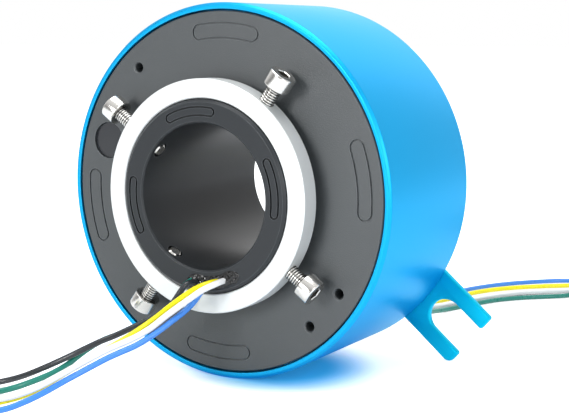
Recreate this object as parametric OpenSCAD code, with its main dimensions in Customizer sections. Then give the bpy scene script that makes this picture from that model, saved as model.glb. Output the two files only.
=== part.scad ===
// Through-bore slip ring, lying with its shaft axis level.
// Y runs along the shaft, from the clamp ring at the front to the fork at the rear.
// X runs to the right and Z upwards, and the shaft axis is X = Z = 0.
// Y = 0 is the plane of the housing's front rim.
// Angles are measured from +X towards +Z, as seen from the front.

/* [Housing] */
// Outside diameter of the housing
housing_d = 99; // [98:0.5:106]
// Thickness of the housing's wall
housing_wall = 3; // [2:0.25:4]
// Width of the bare rim round each cover
rim_w = 1.7; // [1.2:0.1:2.5]
// Chamfer on the outer edge of each rim
rim_chamfer = 0.7; // [0.3:0.1:1]

/* [Covers] */
// Gap between a cover's edge and the rim
cover_gap = 0.4; // [0.1:0.05:0.6]
// How far the front cover lies below the rim
cover_recess = 0.2; // [0:0.1:0.6]
// Thickness of each cover's flange
flange_t = 3.3; // [2.5:0.1:4]
// Thickness of the lip that holds each bearing in
lip_t = 3.4; // [2.5:0.1:5]
// Length of the spigot that centres a cover in the housing
spigot_l = 3; // [2:0.5:5]
// Wall of the spigot
spigot_wall = 2.5; // [1.5:0.25:4]
// Wall of the hub round each bearing
hub_wall = 3; // [2:0.25:4]
// Gap round the sleeve at the front cover
front_mouth_gap = 1; // [0.6:0.1:2]
// Gap round the sleeve at the rear cover
rear_mouth_gap = 5; // [4.5:0.1:5.5]
// Number of ribs inside each cover
rib_count = 6; // [3:1:8]
// Thickness of a rib
rib_t = 1.6; // [1:0.1:2.5]
// Angle of the middle of the front pair of accessory holes
accessory_angle = 138; // [130:1:141]
// Distance from a cover's edge to the accessory holes
accessory_inset = 5.4; // [4.4:0.1:6]
// Angle between the middle of a pair and each of its holes
accessory_half_angle = 8.6; // [7:0.1:10]
// Drilled diameter of an accessory hole, tapped M3
m3_drill = 2.5; // [2.4:0.05:2.6]
// Depth of an accessory hole
accessory_depth = 7; // [5:0.5:8]
// Diameter of the boss behind an accessory hole
boss_d = 6.5; // [5.5:0.25:7]
// Distance from the cover's edge to its raised pads
cover_pad_inset = 2.9; // [2:0.1:4]
// Width of the raised pads on the front cover
cover_pad_w = 4.3; // [3:0.1:5]
// Angle spanned by a pad on the front cover
cover_pad_span = 22; // [15:1:30]
// Angle of the first pad on the front cover
cover_pad_angle = 8; // [0:1:15]
// Angle from that pad to the second one
cover_pad_step = 80; // [70:1:90]
// Width and depth of the groove round a pad
pad_groove = 0.5; // [0.4:0.05:1]
// Depth of the blanking plug's face below the cover
plug_sunk = 0.7; // [0.3:0.1:1]
// Thickness of the blanking plug's head
plug_head_t = 0.6; // [0.4:0.1:1]
// Width of the ledge that the plug's head sits on
plug_ledge = 1.5; // [1:0.1:2]
// Angle of the blanking plug
plug_angle = 161.6; // [158:0.2:166]

/* [Bearings] */
// Bore of a bearing, and outside diameter of the sleeve
bearing_id = 50; // [49:0.1:50.4]
// Radial height of a bearing, from its bore to its outside
bearing_section = 7.5; // [7:0.1:8]
// Width of a bearing
bearing_w = 7; // [6.5:0.1:8]
// Number of balls in a bearing
ball_count = 24; // [16:1:28]

/* [Sleeve] */
// Diameter of the shaft that the sleeve goes on
shaft_d = 38.1; // [36:0.1:40]
// Length of the collar in front of the housing's rim
collar_l = 9; // [8.5:0.1:12]
// Chamfer on the collar's front edge
collar_chamfer = 0.7; // [0.3:0.1:1]
// Width of the sleeve's shoulder
shoulder_w = 2; // [1.5:0.1:3]
// Height of the sleeve's shoulder
shoulder_h = 2; // [1.5:0.1:2.4]
// How far the sleeve's rear end lies inside the housing's rear face
rear_inset = 0.7; // [0.2:0.1:1.2]
// Chamfer on the edges of the bore and on the sleeve's rear edge
bore_chamfer = 0.4; // [0.2:0.1:0.7]
// Depth of the groove for the retaining ring
circlip_groove = 1.5; // [1:0.1:2]
// Width of the pads and of the wire duct in the collar
collar_pad_w = 2.6; // [1.8:0.1:3]
// Angle spanned by a pad in the collar
collar_pad_span = 34; // [20:1:40]
// Angle of the collar's first pad
collar_pad_angle = 9.3; // [5:0.1:12]
// Height of the sealing resin above each face
resin_h = 0.9; // [0.6:0.1:1.5]
// Depth of the sealing resin below each face
resin_depth = 3; // [2:0.5:5]
// How far the resin spreads beyond its slot
resin_spread = 0.4; // [0.2:0.05:0.45]

/* [Clamp ring] */
// Radial thickness of the clamp ring
clamp_wall = 5; // [4:0.25:6]
// Width of the clamp ring along the shaft
clamp_w = 6; // [5.5:0.1:7]
// Gap between the clamp ring and the sleeve
clamp_gap = 0.25; // [0.1:0.05:0.4]
// Gap between the clamp ring and the front cover
clamp_offset = 2.7; // [1.5:0.1:2.9]
// Angle of the first clamp screw
clamp_screw_angle = 54.5; // [50:0.5:60]
// Nominal diameter of the clamp screws, M4
m4_d = 4; // [3:0.5:4]
// Diameter of a clamp screw's head
m4_head_d = 7; // [6:0.1:7]
// Height of a clamp screw's head
m4_head_h = 4; // [3:0.1:5]
// Width across the flats of the hexagon socket
m4_key = 3; // [2:0.1:3.2]
// Length of a clamp screw under its head
m4_length = 16; // [14:0.5:18]
// How far a screw's tip stands inside the bore
tip_inside = 0.2; // [0:0.05:0.22]

/* [Ring stack] */
// Width of a conductor ring
ring_w = 2.6; // [2:0.1:3]
// Width of an insulating washer between two rings
washer_w = 1.5; // [1.2:0.1:2]
// Outside radius of a conductor ring, above the sleeve
ring_h = 6; // [5.5:0.1:6.4]
// Outside radius of an insulating washer, above the sleeve
washer_h = 8; // [7.6:0.1:8.4]
// Radial thickness of the washer under a conductor ring
washer_hub_h = 2.5; // [2:0.1:3]
// Depth of the brush groove in a conductor ring
groove_depth = 0.9; // [0.6:0.1:1.1]
// Width of the brush groove
groove_w = 1.3; // [1:0.1:1.6]
// Width of the spacer behind the ring stack
spacer_w = 2; // [1.5:0.1:3]
// Thickness of the rear retaining ring
circlip_t = 1.5; // [1:0.1:1.8]
// Radial width of the rear retaining ring above the sleeve
circlip_h = 2.8; // [2.2:0.1:3.2]

/* [Brushes] */
// Diameter of a brush wire
brush_d = 0.5; // [0.3:0.05:0.6]
// Gap between a brush wire and the bottom of its groove
brush_gap = 0.1; // [0.05:0.05:0.3]
// Length of a brush wire past the point where it meets its ring
brush_tail = 3; // [2:0.5:4]
// Gap between a brush block and the insulating washers
block_gap = 0.85; // [0.6:0.05:1.2]
// Gap between a brush block's corner and the housing
block_wall_gap = 2.3; // [1.5:0.1:3]
// Thickness of the terminal board
board_t = 1.2; // [0.8:0.1:1.6]
// Angle of the first brush block
brush_angle = 83; // [60:1:100]

/* [Anti-rotation fork] */
// Angle of the fork's middle line
fork_angle = -40.3; // [-41:0.1:-36]
// Thickness of the fork plate
fork_t = 2; // [1.5:0.1:3]
// Width of the fork plate
fork_w = 19; // [18:0.25:20]
// How far the fork's tips stand out from the housing
fork_overhang = 17.2; // [15:0.1:17.5]
// Width of the fork's slot
fork_slot = 9.8; // [6:0.1:10]
// How far the bottom of the slot lies outside the housing
fork_slot_offset = 2.7; // [1.5:0.1:6]
// How far the plate reaches in over the rear cover
fork_overlap = 13; // [11.5:0.1:13.5]
// Radius of the plate's corners
fork_corner = 2.2; // [1:0.1:2.4]
// Radius of the corners at the slot's mouth
fork_tip_r = 1; // [0.5:0.1:1.5]
// Diameter of a fork screw's head
fork_head_d = 5.7; // [5:0.1:6]
// Height of a fork screw's head
fork_head_h = 1.7; // [1.2:0.1:2]

/* [Leads] */
// Diameter of a lead over its insulation
lead_d = 1.6; // [1.2:0.1:1.6]
// Angle of the rear cover's lead exit
exit_angle = -66; // [-70:0.5:-65]
// Width of the slot of the rear lead exit
exit_w = 3.6; // [3:0.1:4]
// Angle spanned by the rear lead exit
exit_span = 12; // [11:0.5:14]

/* [Hidden] */

$fn = 96;
eps = 0.02;
running = 0.03;            // radial clearance of a ground or turned fit
moulded = 0.1;             // radial clearance of a moulded fit
edge = 0.3;                // small bevel on an edge
circuits = 5;              // one conductor ring and one pair of leads for each

// Radii
housing_r = housing_d / 2;
seat_r = housing_r - rim_w;
housing_bore_r = housing_r - housing_wall;
cover_r = seat_r - cover_gap;
bore_r = shaft_d / 2;
sleeve_r = bearing_id / 2;
bearing_r = sleeve_r + bearing_section;
hub_r = bearing_r + hub_wall;
spigot_r = housing_bore_r - running;
washer_r = sleeve_r + washer_h;
ring_r = sleeve_r + ring_h;
washer_hub_r = sleeve_r + washer_hub_h;
clamp_inner_r = sleeve_r + clamp_gap;
clamp_outer_r = clamp_inner_r + clamp_wall;
accessory_r = cover_r - accessory_inset;
duct_r = (bore_r + sleeve_r) / 2;
fork_inner = housing_r - fork_overlap;
fork_reach = housing_r + fork_overhang;
fork_slot_from = housing_r + fork_slot_offset;
exit_r = (hub_r + spigot_r - spigot_wall) / 2;
plug_recess_d = 0.84 * (cover_r - hub_r);
pitch_r = sleeve_r + bearing_section / 2;

// A ball and the gap between the races, as shares of a bearing's section
ball_d = 0.52 * bearing_section;
race_gap = 0.36 * bearing_section;

// Places along the shaft, from the front
stack_l = circuits * ring_w + (circuits + 1) * washer_w;
front_race_y = cover_recess + lip_t;
shoulder_y = front_race_y + bearing_w;
stack_y = shoulder_y + shoulder_w;
spacer_y = stack_y + stack_l;
rear_race_y = spacer_y + spacer_w;
circlip_y = rear_race_y + bearing_w;
housing_l = circlip_y + lip_t;
sleeve_end_y = housing_l - rear_inset;
front_seat_y = cover_recess + flange_t;
rear_seat_y = housing_l - flange_t;
hub_past = 0.4;            // how far a hub reaches past its bearing
front_hub_y = shoulder_y + hub_past;
rear_hub_y = rear_race_y - hub_past;
board_y = rear_hub_y - board_t;
clamp_y = cover_recess - clamp_offset - clamp_w;
screw_y = clamp_y + clamp_w / 2;
rotor_exit_y = -collar_l - resin_h;
stator_exit_y = housing_l + resin_h;
duct_angle = collar_pad_angle + 270;

// Fastener details
m4_hole_r = m4_d / 2 + eps;
m4_clear_r = m4_d / 2 + 0.15;
screw_tip_r = bore_r - tip_inside;
m3_shank_r = m3_drill / 2 - eps;
m3_clear_r = m3_drill / 2 + 0.35;
fork_screw_l = accessory_depth - 1;

// Inner leads: bare conductor, insulated end, and the holes for them
wire_r = 0.28 * lead_d;
stator_wire_r = 0.375 * lead_d;
lead_hole_r = 2 * wire_r;

// Brush geometry
brush_r = ring_r - groove_depth + brush_gap + brush_d / 2;
block_w = 0.52 * (housing_bore_r - washer_r);
block_x = brush_r - block_w / 4;
brush_reach = sqrt(pow(washer_r + block_gap, 2) - pow(block_x, 2));
block_top = sqrt(pow(housing_bore_r - block_wall_gap, 2) - pow(block_x + block_w, 2));

function ring_y(i) = stack_y + washer_w + i * (washer_w + ring_w);
function at(r, a, y) = [r * cos(a), y, r * sin(a)];

// Turns a profile of radius and place along the shaft into a solid
module turned() {
    rotate([-90, 0, 0]) rotate_extrude(convexity = 8) children();
}

// Moves a thing drawn at +X round the shaft
module around(a) {
    rotate([0, -a, 0]) children();
}

// A disc or rod along the shaft, between two places
module rod(r, y0, y1) {
    translate([0, y0, 0]) rotate([-90, 0, 0]) cylinder(r = r, h = y1 - y0);
}

// A slot with round ends along an arc about the shaft, centred on +X
module arc_slot(r, w, span, y0, y1) {
    translate([0, y0, 0]) rotate([-90, 0, 0]) {
        rotate([0, 0, -span / 2]) rotate_extrude(angle = span, convexity = 4)
            translate([r - w / 2, 0]) square([w, y1 - y0]);
        for (s = [-1, 1])
            rotate([0, 0, s * span / 2]) translate([r, 0, 0]) cylinder(d = w, h = y1 - y0);
    }
}

// The groove that outlines a raised pad; y is the face it is cut into
module pad_outline(r, w, span, y) {
    difference() {
        arc_slot(r, w, span, y - 1, y + pad_groove);
        arc_slot(r, w - 2 * pad_groove, span, y - 2, y + pad_groove + 1);
    }
}

// ---------- Stator ----------

module housing() {
    color([0.10, 0.60, 0.90]) turned() polygon([
        [housing_bore_r, front_seat_y], [seat_r, front_seat_y], [seat_r, 0],
        [housing_r - rim_chamfer, 0], [housing_r, rim_chamfer],
        [housing_r, housing_l - rim_chamfer], [housing_r - rim_chamfer, housing_l],
        [seat_r, housing_l], [seat_r, rear_seat_y], [housing_bore_r, rear_seat_y]
    ]);
}

// A cover's section, as radius and depth below its outer face
module cover_section(mouth_r) {
    bevel = edge;
    seat = bearing_r + running;
    hub_depth = lip_t + bearing_w + hub_past;
    polygon([
        [mouth_r, bevel], [mouth_r + bevel, 0], [cover_r - bevel, 0], [cover_r, bevel],
        [cover_r, flange_t], [spigot_r, flange_t], [spigot_r, flange_t + spigot_l],
        [spigot_r - spigot_wall, flange_t + spigot_l], [spigot_r - spigot_wall, flange_t],
        [hub_r, flange_t], [hub_r, hub_depth], [seat, hub_depth], [seat, lip_t], [mouth_r, lip_t]
    ]);
}

// The ribs and bosses inside a cover, drawn by depth below its outer face
module cover_inside(pair_angle) {
    rib_from = hub_r - hub_wall / 3;
    rib_to = spigot_r - spigot_wall / 2;
    for (i = [0 : rib_count - 1])
        around(pair_angle + i * 360 / rib_count)
            translate([rib_from, flange_t - 0.5, -rib_t / 2])
                cube([rib_to - rib_from, spigot_l + 0.5, rib_t]);
    for (side = [0, 180], s = [-1, 1])
        around(pair_angle + side + s * accessory_half_angle)
            translate([accessory_r, 0, 0]) rod(boss_d / 2, flange_t - 0.5, accessory_depth + 1);
}

// The tapped accessory holes, drawn by depth below the outer face
module accessory_holes(pair_angle) {
    for (side = [0, 180], s = [-1, 1])
        around(pair_angle + side + s * accessory_half_angle)
            translate([accessory_r, 0, 0]) {
                rod(m3_drill / 2, -1, accessory_depth);
                translate([0, -eps, 0]) rotate([-90, 0, 0])
                    cylinder(d1 = 2 * m3_clear_r, d2 = m3_drill, h = m3_clear_r - m3_drill / 2);
            }
}

module front_cover() {
    pad_r = cover_r - cover_pad_inset - cover_pad_w / 2;
    color([0.27, 0.28, 0.30]) translate([0, cover_recess, 0]) difference() {
        union() {
            turned() cover_section(sleeve_r + front_mouth_gap);
            cover_inside(accessory_angle);
        }
        accessory_holes(accessory_angle);
        for (side = [0, 180], step = [0, cover_pad_step])
            around(cover_pad_angle + side + step) pad_outline(pad_r, cover_pad_w, cover_pad_span, 0);
        around(plug_angle) translate([plug_r(), 0, 0]) {
            rod(plug_recess_d / 2, -1, plug_sunk + plug_head_t);
            rod(plug_stem_r(), -1, flange_t + 1);
        }
    }
}

function plug_stem_r() = plug_recess_d / 2 - plug_ledge;
function plug_r() = hub_r + plug_stem_r() + cover_gap;

// Closes the opening that the front cover has for a second set of leads
module blanking_plug() {
    color([0.16, 0.17, 0.20]) translate([0, cover_recess, 0])
        around(plug_angle) translate([plug_r(), 0, 0]) {
            rod(plug_recess_d / 2 - moulded, plug_sunk, plug_sunk + plug_head_t);
            rod(plug_stem_r() - moulded, plug_sunk, flange_t + plug_head_t);
        }
}

module rear_cover() {
    color([0.27, 0.28, 0.30]) difference() {
        translate([0, housing_l, 0]) mirror([0, 1, 0]) difference() {
            union() {
                turned() cover_section(sleeve_r + rear_mouth_gap);
                cover_inside(fork_angle);
            }
            accessory_holes(fork_angle);
        }
        around(exit_angle) arc_slot(exit_r, exit_w, exit_span, rear_seat_y - 4, housing_l + 1);
    }
}

// The plate that a fixed pin holds, so that the housing can't turn
module anti_rotation_fork() {
    slot_centre = fork_slot_from + fork_slot / 2;
    color([0.10, 0.60, 0.90]) around(fork_angle) difference() {
        translate([0, housing_l, 0]) rotate([-90, 0, 0])
            linear_extrude(fork_t, convexity = 4) difference() {
            fork_outline();
            translate([slot_centre, 0]) circle(d = fork_slot);
            translate([slot_centre, -fork_slot / 2]) square([fork_reach, fork_slot]);
            tip_fillets();
        }
        for (s = [-1, 1])
            around(s * accessory_half_angle)
                translate([accessory_r, 0, 0]) rod(m3_clear_r, housing_l - 1, housing_l + fork_t + 1);
    }
}

// The plate's outline before its slot, with round corners
module fork_outline() {
    half = fork_w / 2 - fork_corner;
    for (x = [fork_inner + fork_corner, fork_reach - fork_corner], y = [-half, half])
        translate([x, y]) circle(r = fork_corner);
    translate([fork_inner, -half]) square([fork_reach - fork_inner, 2 * half]);
    translate([fork_inner + fork_corner, -fork_w / 2])
        square([fork_reach - fork_inner - 2 * fork_corner, fork_w]);
}

// What rounds the slot's two mouth corners
module tip_fillets() {
    r = fork_tip_r;
    for (s = [-1, 1]) scale([1, s]) translate([fork_reach - r, fork_slot / 2]) difference() {
        translate([0, -r]) square([2 * r, 2 * r]);
        translate([0, r]) circle(r = r);
    }
}

// Button head screws that hold the fork
module fork_screws() {
    head_y = housing_l + fork_t;
    dome_r = 0.62 * fork_head_d;
    key = 0.35 * fork_head_d;
    color([0.75, 0.75, 0.76])
        for (s = [-1, 1])
            around(fork_angle + s * accessory_half_angle) translate([accessory_r, 0, 0]) difference() {
                union() {
                    rod(m3_shank_r, housing_l - fork_screw_l, head_y + eps);
                    translate([0, head_y, 0]) turned() intersection() {
                        square([fork_head_d / 2, fork_head_h]);
                        translate([0, fork_head_h - dome_r]) circle(r = dome_r);
                    }
                }
                translate([0, head_y + 0.4 * fork_head_h, 0]) rotate([-90, 0, 0]) rotate([0, 0, 30])
                    cylinder(d = key / cos(30), h = fork_head_h, $fn = 6);
            }
}

// ---------- Bearings ----------

module outer_race(y) {
    translate([0, y, 0]) turned() difference() {
        translate([pitch_r + race_gap / 2, 0])
            square([bearing_r - pitch_r - race_gap / 2, bearing_w]);
        translate([pitch_r, bearing_w / 2]) circle(d = ball_d + 2 * running);
    }
}

module inner_race(y) {
    translate([0, y, 0]) turned() difference() {
        translate([sleeve_r + eps, 0])
            square([pitch_r - race_gap / 2 - sleeve_r - eps, bearing_w]);
        translate([pitch_r, bearing_w / 2]) circle(d = ball_d + 2 * running);
    }
}

// The balls and the cage that spaces them
module ball_set(y) {
    cage_h = 0.7 * race_gap;
    cage_w = 0.4 * ball_d;
    translate([0, y + bearing_w / 2, 0]) {
        for (i = [0 : ball_count - 1])
            around(i * 360 / ball_count) translate([pitch_r, 0, 0]) sphere(d = ball_d, $fn = 32);
        turned() translate([pitch_r - cage_h / 2, -cage_w / 2]) square([cage_h, cage_w]);
    }
}

module front_outer_race() { color([0.75, 0.76, 0.78]) outer_race(front_race_y); }
module front_inner_race() { color([0.75, 0.76, 0.78]) inner_race(front_race_y); }
module front_balls() { color([0.85, 0.86, 0.88]) ball_set(front_race_y); }
module rear_outer_race() { color([0.75, 0.76, 0.78]) outer_race(rear_race_y); }
module rear_inner_race() { color([0.75, 0.76, 0.78]) inner_race(rear_race_y); }
module rear_balls() { color([0.85, 0.86, 0.88]) ball_set(rear_race_y); }

// ---------- Rotor ----------

// Angle, beside the duct's middle, of circuit i's lead
function lead_angle(i) = duct_angle + (i - (circuits - 1) / 2) * 30 / (circuits - 1);

module rotor_sleeve() {
    groove_r = sleeve_r - circlip_groove;
    duct_end = ring_y(circuits - 1) + ring_w;
    color([0.22, 0.23, 0.24]) difference() {
        turned() polygon([
            [bore_r + bore_chamfer, -collar_l], [sleeve_r - collar_chamfer, -collar_l],
            [sleeve_r, -collar_l + collar_chamfer], [sleeve_r, shoulder_y],
            [sleeve_r + shoulder_h, shoulder_y], [sleeve_r + shoulder_h, stack_y], [sleeve_r, stack_y],
            [sleeve_r, circlip_y], [groove_r, circlip_y], [groove_r, circlip_y + circlip_t + eps],
            [sleeve_r, circlip_y + circlip_t + eps], [sleeve_r, sleeve_end_y - bore_chamfer],
            [sleeve_r - bore_chamfer, sleeve_end_y], [bore_r + bore_chamfer, sleeve_end_y],
            [bore_r, sleeve_end_y - bore_chamfer], [bore_r, -collar_l + bore_chamfer]
        ]);
        for (k = [0 : 2])
            around(collar_pad_angle + k * 90) pad_outline(duct_r, collar_pad_w, collar_pad_span, -collar_l);
        around(duct_angle) arc_slot(duct_r, collar_pad_w, collar_pad_span, -collar_l - 1, duct_end);
        for (k = [0 : 3])
            around(clamp_screw_angle + k * 90) translate([bore_r - 2, screw_y, 0])
                rotate([0, 90, 0]) cylinder(r = m4_clear_r, h = sleeve_r - bore_r + 4);
        for (i = [0 : circuits - 1])
            around(lead_angle(i)) translate([duct_r, ring_y(i) + ring_w / 2, 0])
                rotate([0, 90, 0]) cylinder(r = lead_hole_r, h = sleeve_r - duct_r + 1);
    }
}

// Squeezed onto the shaft through the sleeve by its four screws
module clamp_ring() {
    bevel = edge;
    color([0.88, 0.89, 0.90]) difference() {
        turned() polygon([
            [clamp_inner_r, clamp_y + bevel], [clamp_inner_r + bevel, clamp_y],
            [clamp_outer_r - bevel, clamp_y], [clamp_outer_r, clamp_y + bevel],
            [clamp_outer_r, clamp_y + clamp_w - bevel], [clamp_outer_r - bevel, clamp_y + clamp_w],
            [clamp_inner_r + bevel, clamp_y + clamp_w], [clamp_inner_r, clamp_y + clamp_w - bevel]
        ]);
        for (k = [0 : 3])
            around(clamp_screw_angle + k * 90) translate([clamp_inner_r - 2, screw_y, 0])
                rotate([0, 90, 0]) cylinder(r = m4_hole_r, h = clamp_wall + 4);
    }
}

// Hexagon socket cap screw, with its tip just inside the bore
module clamp_screw(k) {
    head_r = screw_tip_r + m4_length;
    bevel = 0.4;
    color([0.80, 0.80, 0.80]) around(clamp_screw_angle + k * 90) translate([0, screw_y, 0])
        rotate([0, 90, 0]) difference() {
            union() {
                translate([0, 0, screw_tip_r]) rotate_extrude() polygon([
                    [0, 0], [m4_d / 2 - bevel, 0], [m4_d / 2, bevel],
                    [m4_d / 2, m4_length], [m4_head_d / 2 - 0.2, m4_length],
                    [m4_head_d / 2, m4_length + 0.2], [m4_head_d / 2, m4_length + m4_head_h - bevel],
                    [m4_head_d / 2 - bevel, m4_length + m4_head_h], [0, m4_length + m4_head_h]
                ]);
            }
            translate([0, 0, head_r + m4_head_h / 2]) rotate([0, 0, 30])
                cylinder(d = m4_key / cos(30), h = m4_head_h, $fn = 6);
        }
}

module clamp_screw_1() { clamp_screw(0); }
module clamp_screw_2() { clamp_screw(1); }
module clamp_screw_3() { clamp_screw(2); }
module clamp_screw_4() { clamp_screw(3); }

// A conductor ring, grooved for its brush wires
module conductor_ring(i) {
    inner = washer_hub_r + eps;
    color([0.85, 0.68, 0.30]) translate([0, ring_y(i), 0])
        turned() polygon([
            [inner, 0], [ring_r, 0], [ring_r, (ring_w - groove_w) / 2],
            [ring_r - groove_depth, (ring_w - groove_w) / 2],
            [ring_r - groove_depth, (ring_w + groove_w) / 2],
            [ring_r, (ring_w + groove_w) / 2], [ring_r, ring_w], [inner, ring_w]
        ]);
}

module conductor_ring_1() { conductor_ring(0); }
module conductor_ring_2() { conductor_ring(1); }
module conductor_ring_3() { conductor_ring(2); }
module conductor_ring_4() { conductor_ring(3); }
module conductor_ring_5() { conductor_ring(4); }

// The moulded washers that carry the rings and keep them apart
module insulating_washers() {
    color([0.15, 0.15, 0.16]) difference() {
        for (i = [0 : circuits])
            translate([0, stack_y + i * (washer_w + ring_w), 0]) turned() polygon(concat(
                [[sleeve_r + eps, 0], [washer_r - edge, 0], [washer_r, edge], [washer_r, washer_w - edge],
                 [washer_r - edge, washer_w]],
                i < circuits
                    ? [[washer_hub_r, washer_w], [washer_hub_r, washer_w + ring_w],
                       [sleeve_r + eps, washer_w + ring_w]]
                    : [[sleeve_r + eps, washer_w]]
            ));
        for (i = [0 : circuits - 1])
            around(lead_angle(i)) translate([sleeve_r - 1, ring_y(i) + ring_w / 2, 0])
                rotate([0, 90, 0]) cylinder(r = lead_hole_r, h = washer_hub_h + 1 + eps);
    }
}

module stack_spacer() {
    color([0.75, 0.76, 0.78]) turned()
        translate([sleeve_r + eps, spacer_y]) square([shoulder_h, spacer_w]);
}

// Sprung ring in the sleeve's groove, behind the rear bearing
module retaining_ring() {
    inner = sleeve_r - circlip_groove + eps;
    ear_r = 0.37 * (circlip_groove + circlip_h);
    ear_at = sleeve_r + circlip_h - ear_r;
    band = ear_at + 0.55 * ear_r - inner;
    color([0.30, 0.31, 0.33]) around(90) difference() {
        union() {
            turned() translate([inner, circlip_y + eps]) square([band, circlip_t - eps]);
            for (s = [-1, 1])
                around(s * 6) translate([ear_at, 0, 0]) rod(ear_r, circlip_y + eps, circlip_y + circlip_t);
        }
        translate([inner - 1, circlip_y - 1, -ear_r / 2]) cube([circlip_h + 5, circlip_t + 2, ear_r]);
        for (s = [-1, 1])
            around(s * 6) translate([ear_at, 0, 0])
                rod(0.45 * ear_r, circlip_y - 1, circlip_y + circlip_t + 1);
    }
}

// Bare conductors from the resin to the rings, through the sleeve's duct
module rotor_inner_leads() {
    r = wire_r;
    color([0.80, 0.45, 0.25])
        for (i = [0 : circuits - 1]) {
            mid = ring_y(i) + ring_w / 2;
            around(lead_angle(i)) {
                translate([duct_r, 0, 0]) rod(r, -collar_l + resin_depth, mid + r);
                translate([duct_r, mid, 0]) rotate([0, 90, 0]) cylinder(r = r, h = washer_hub_r - duct_r);
            }
        }
}

// Sealing resin in the mouth of the duct and round the leads
module rotor_resin() {
    color([0.08, 0.08, 0.09]) around(duct_angle) {
        arc_slot(duct_r, collar_pad_w - 2 * eps, collar_pad_span, -collar_l, -collar_l + resin_depth);
        arc_slot(duct_r, collar_pad_w + 2 * resin_spread, collar_pad_span + 2, rotor_exit_y, -collar_l);
    }
}

// ---------- Brushes ----------

// Bar across the rings that holds one wire for each
module brush_block(a) {
    color([0.16, 0.30, 0.22]) around(a)
        translate([block_x, front_hub_y, brush_reach])
            cube([block_w, board_y - front_hub_y, block_top - brush_reach]);
}

module brush_wires(a) {
    color([0.90, 0.75, 0.35]) around(a)
        for (i = [0 : circuits - 1])
            translate([brush_r, ring_y(i) + ring_w / 2, -brush_tail])
                cylinder(d = brush_d, h = brush_tail + brush_reach, $fn = 24);
}

module brush_block_upper() { brush_block(brush_angle); }
module brush_block_lower() { brush_block(brush_angle + 180); }
module brushes_upper() { brush_wires(brush_angle); }
module brushes_lower() { brush_wires(brush_angle + 180); }

// Ring-shaped circuit board that joins both blocks to the leads
module terminal_board() {
    inner = bearing_r + hub_wall / 2;
    outer = housing_bore_r - cover_gap;
    hole_r = 1;
    color([0.08, 0.35, 0.22]) difference() {
        turned() translate([inner, board_y]) square([outer - inner, board_t]);
        for (k = [0 : 5])
            around(15 + 60 * k) translate([outer - 2 * hole_r, 0, 0])
                rod(hole_r, board_y - 1, board_y + board_t + 1);
    }
}

// Insulated ends of the leads, from the board to the resin
module stator_inner_leads() {
    color([0.75, 0.75, 0.72])
        for (i = [0 : 4])
            around(stator_lead_angle(i)) translate([exit_r, 0, 0])
                rod(stator_wire_r, board_y + board_t, housing_l - resin_depth);
}

function stator_lead_angle(i) = exit_angle + (i - 2) * 2.46;

module stator_resin() {
    color([0.08, 0.08, 0.09]) around(exit_angle) {
        arc_slot(exit_r, exit_w - 2 * eps, exit_span, housing_l - resin_depth, housing_l + eps);
        arc_slot(exit_r, exit_w + 2 * resin_spread, exit_span + 1, housing_l + eps, stator_exit_y);
    }
}

// ---------- Leads ----------

floor_z = -housing_r;      // the surface that the slip ring stands on
rows = 2;                  // rows and columns of the lead bundle in a coil
row_step = 4.6;            // distance between two turns of the bundle
bundle_r = 1.5;            // circle that the five leads lie on in the bundle
coil_lift = 0.4;           // the ties hold the coil just off the surface
coil_inner_r = 4.2;
coil_w = rows * row_step;
coil_mid_z = floor_z + coil_lift + row_step / 2;
coil_outer_turn_r = coil_inner_r + row_step * 1.5;

// Where each bundle reaches its coil, and the way that it runs there
rotor_coil_entry = [-60, -72];
rotor_coil_heading = 225;
stator_coil_entry = [70, 186];
stator_coil_heading = 42;

rotor_black = [
    [-1.5, -12.5, -22], [-3.5, -14.5, -24], [-5.5, -17, -27.5], [-9, -20, -30.5], [-11.5, -23, -32.5],
    [-15, -26, -34.5], [-18, -29, -36], [-21.5, -31.5, -38], [-25, -33.5, -40], [-33, -36, -44],
    [-39, -36.5, -46.5], [-44, -38, -48], [-48, -42, -48.5], [-50.5, -48, -48.5]
];
rotor_green = [
    [-4.2, -12.3, -23.2], [-5.8, -13, -25.3], [-8, -14.1, -28], [-11.5, -16.5, -31.5], [-14.5, -19.5, -34],
    [-17.5, -23, -35.5], [-20, -26.5, -37.5], [-23, -30, -39.5], [-26, -34, -42.5], [-32, -38.5, -46],
    [-39, -43, -48.5]
];
rotor_yellow = [
    [4.9, -12.8, -21.3], [3.2, -14.6, -22], [0.7, -16.4, -23.8], [-3, -19.2, -27], [-6.5, -22.5, -31],
    [-9.5, -26, -33], [-13, -30.5, -36], [-17, -35, -39.5], [-22, -39.5, -43], [-27.5, -44, -46.5],
    [-33, -49, -48.5]
];
rotor_white = [
    [6.9, -13.2, -21.2], [5.2, -15.9, -22.3], [2.6, -18.4, -24.6], [-1, -22, -28], [-4, -26.5, -31.5],
    [-6.5, -30, -33.5], [-10, -35, -35.5], [-13.5, -40, -38], [-16.5, -45.5, -40.5], [-22, -50, -44],
    [-30.5, -52, -47]
];
rotor_blue = [
    [2.8, -12.4, -22.8], [2.1, -14, -24.9], [0.6, -16.6, -27.4], [-1.3, -20.5, -30.2], [-3.1, -25.6, -33],
    [-5.2, -31.2, -35.3], [-7.5, -36, -37.2], [-12, -43, -40], [-16.5, -49.5, -43], [-21, -54, -46],
    [-27, -57, -48.5]
];
stator_green = [
    [19.5, 60, -36.5], [19, 71, -39.5], [18, 82, -43.5], [17.5, 93, -47], [18.5, 105, -48.5],
    [24, 120.5, -48.5], [28, 129, -48.5], [35.5, 138, -48.5], [45, 147, -48.5]
];
stator_white = [
    [17.5, 60, -37], [16.5, 71, -39.5], [15.5, 82, -43], [15, 93, -46], [16, 105, -47.5],
    [22, 122, -47.5], [26.5, 131.5, -47.5], [33.5, 141.5, -47.5], [44, 151, -47.5]
];
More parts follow.
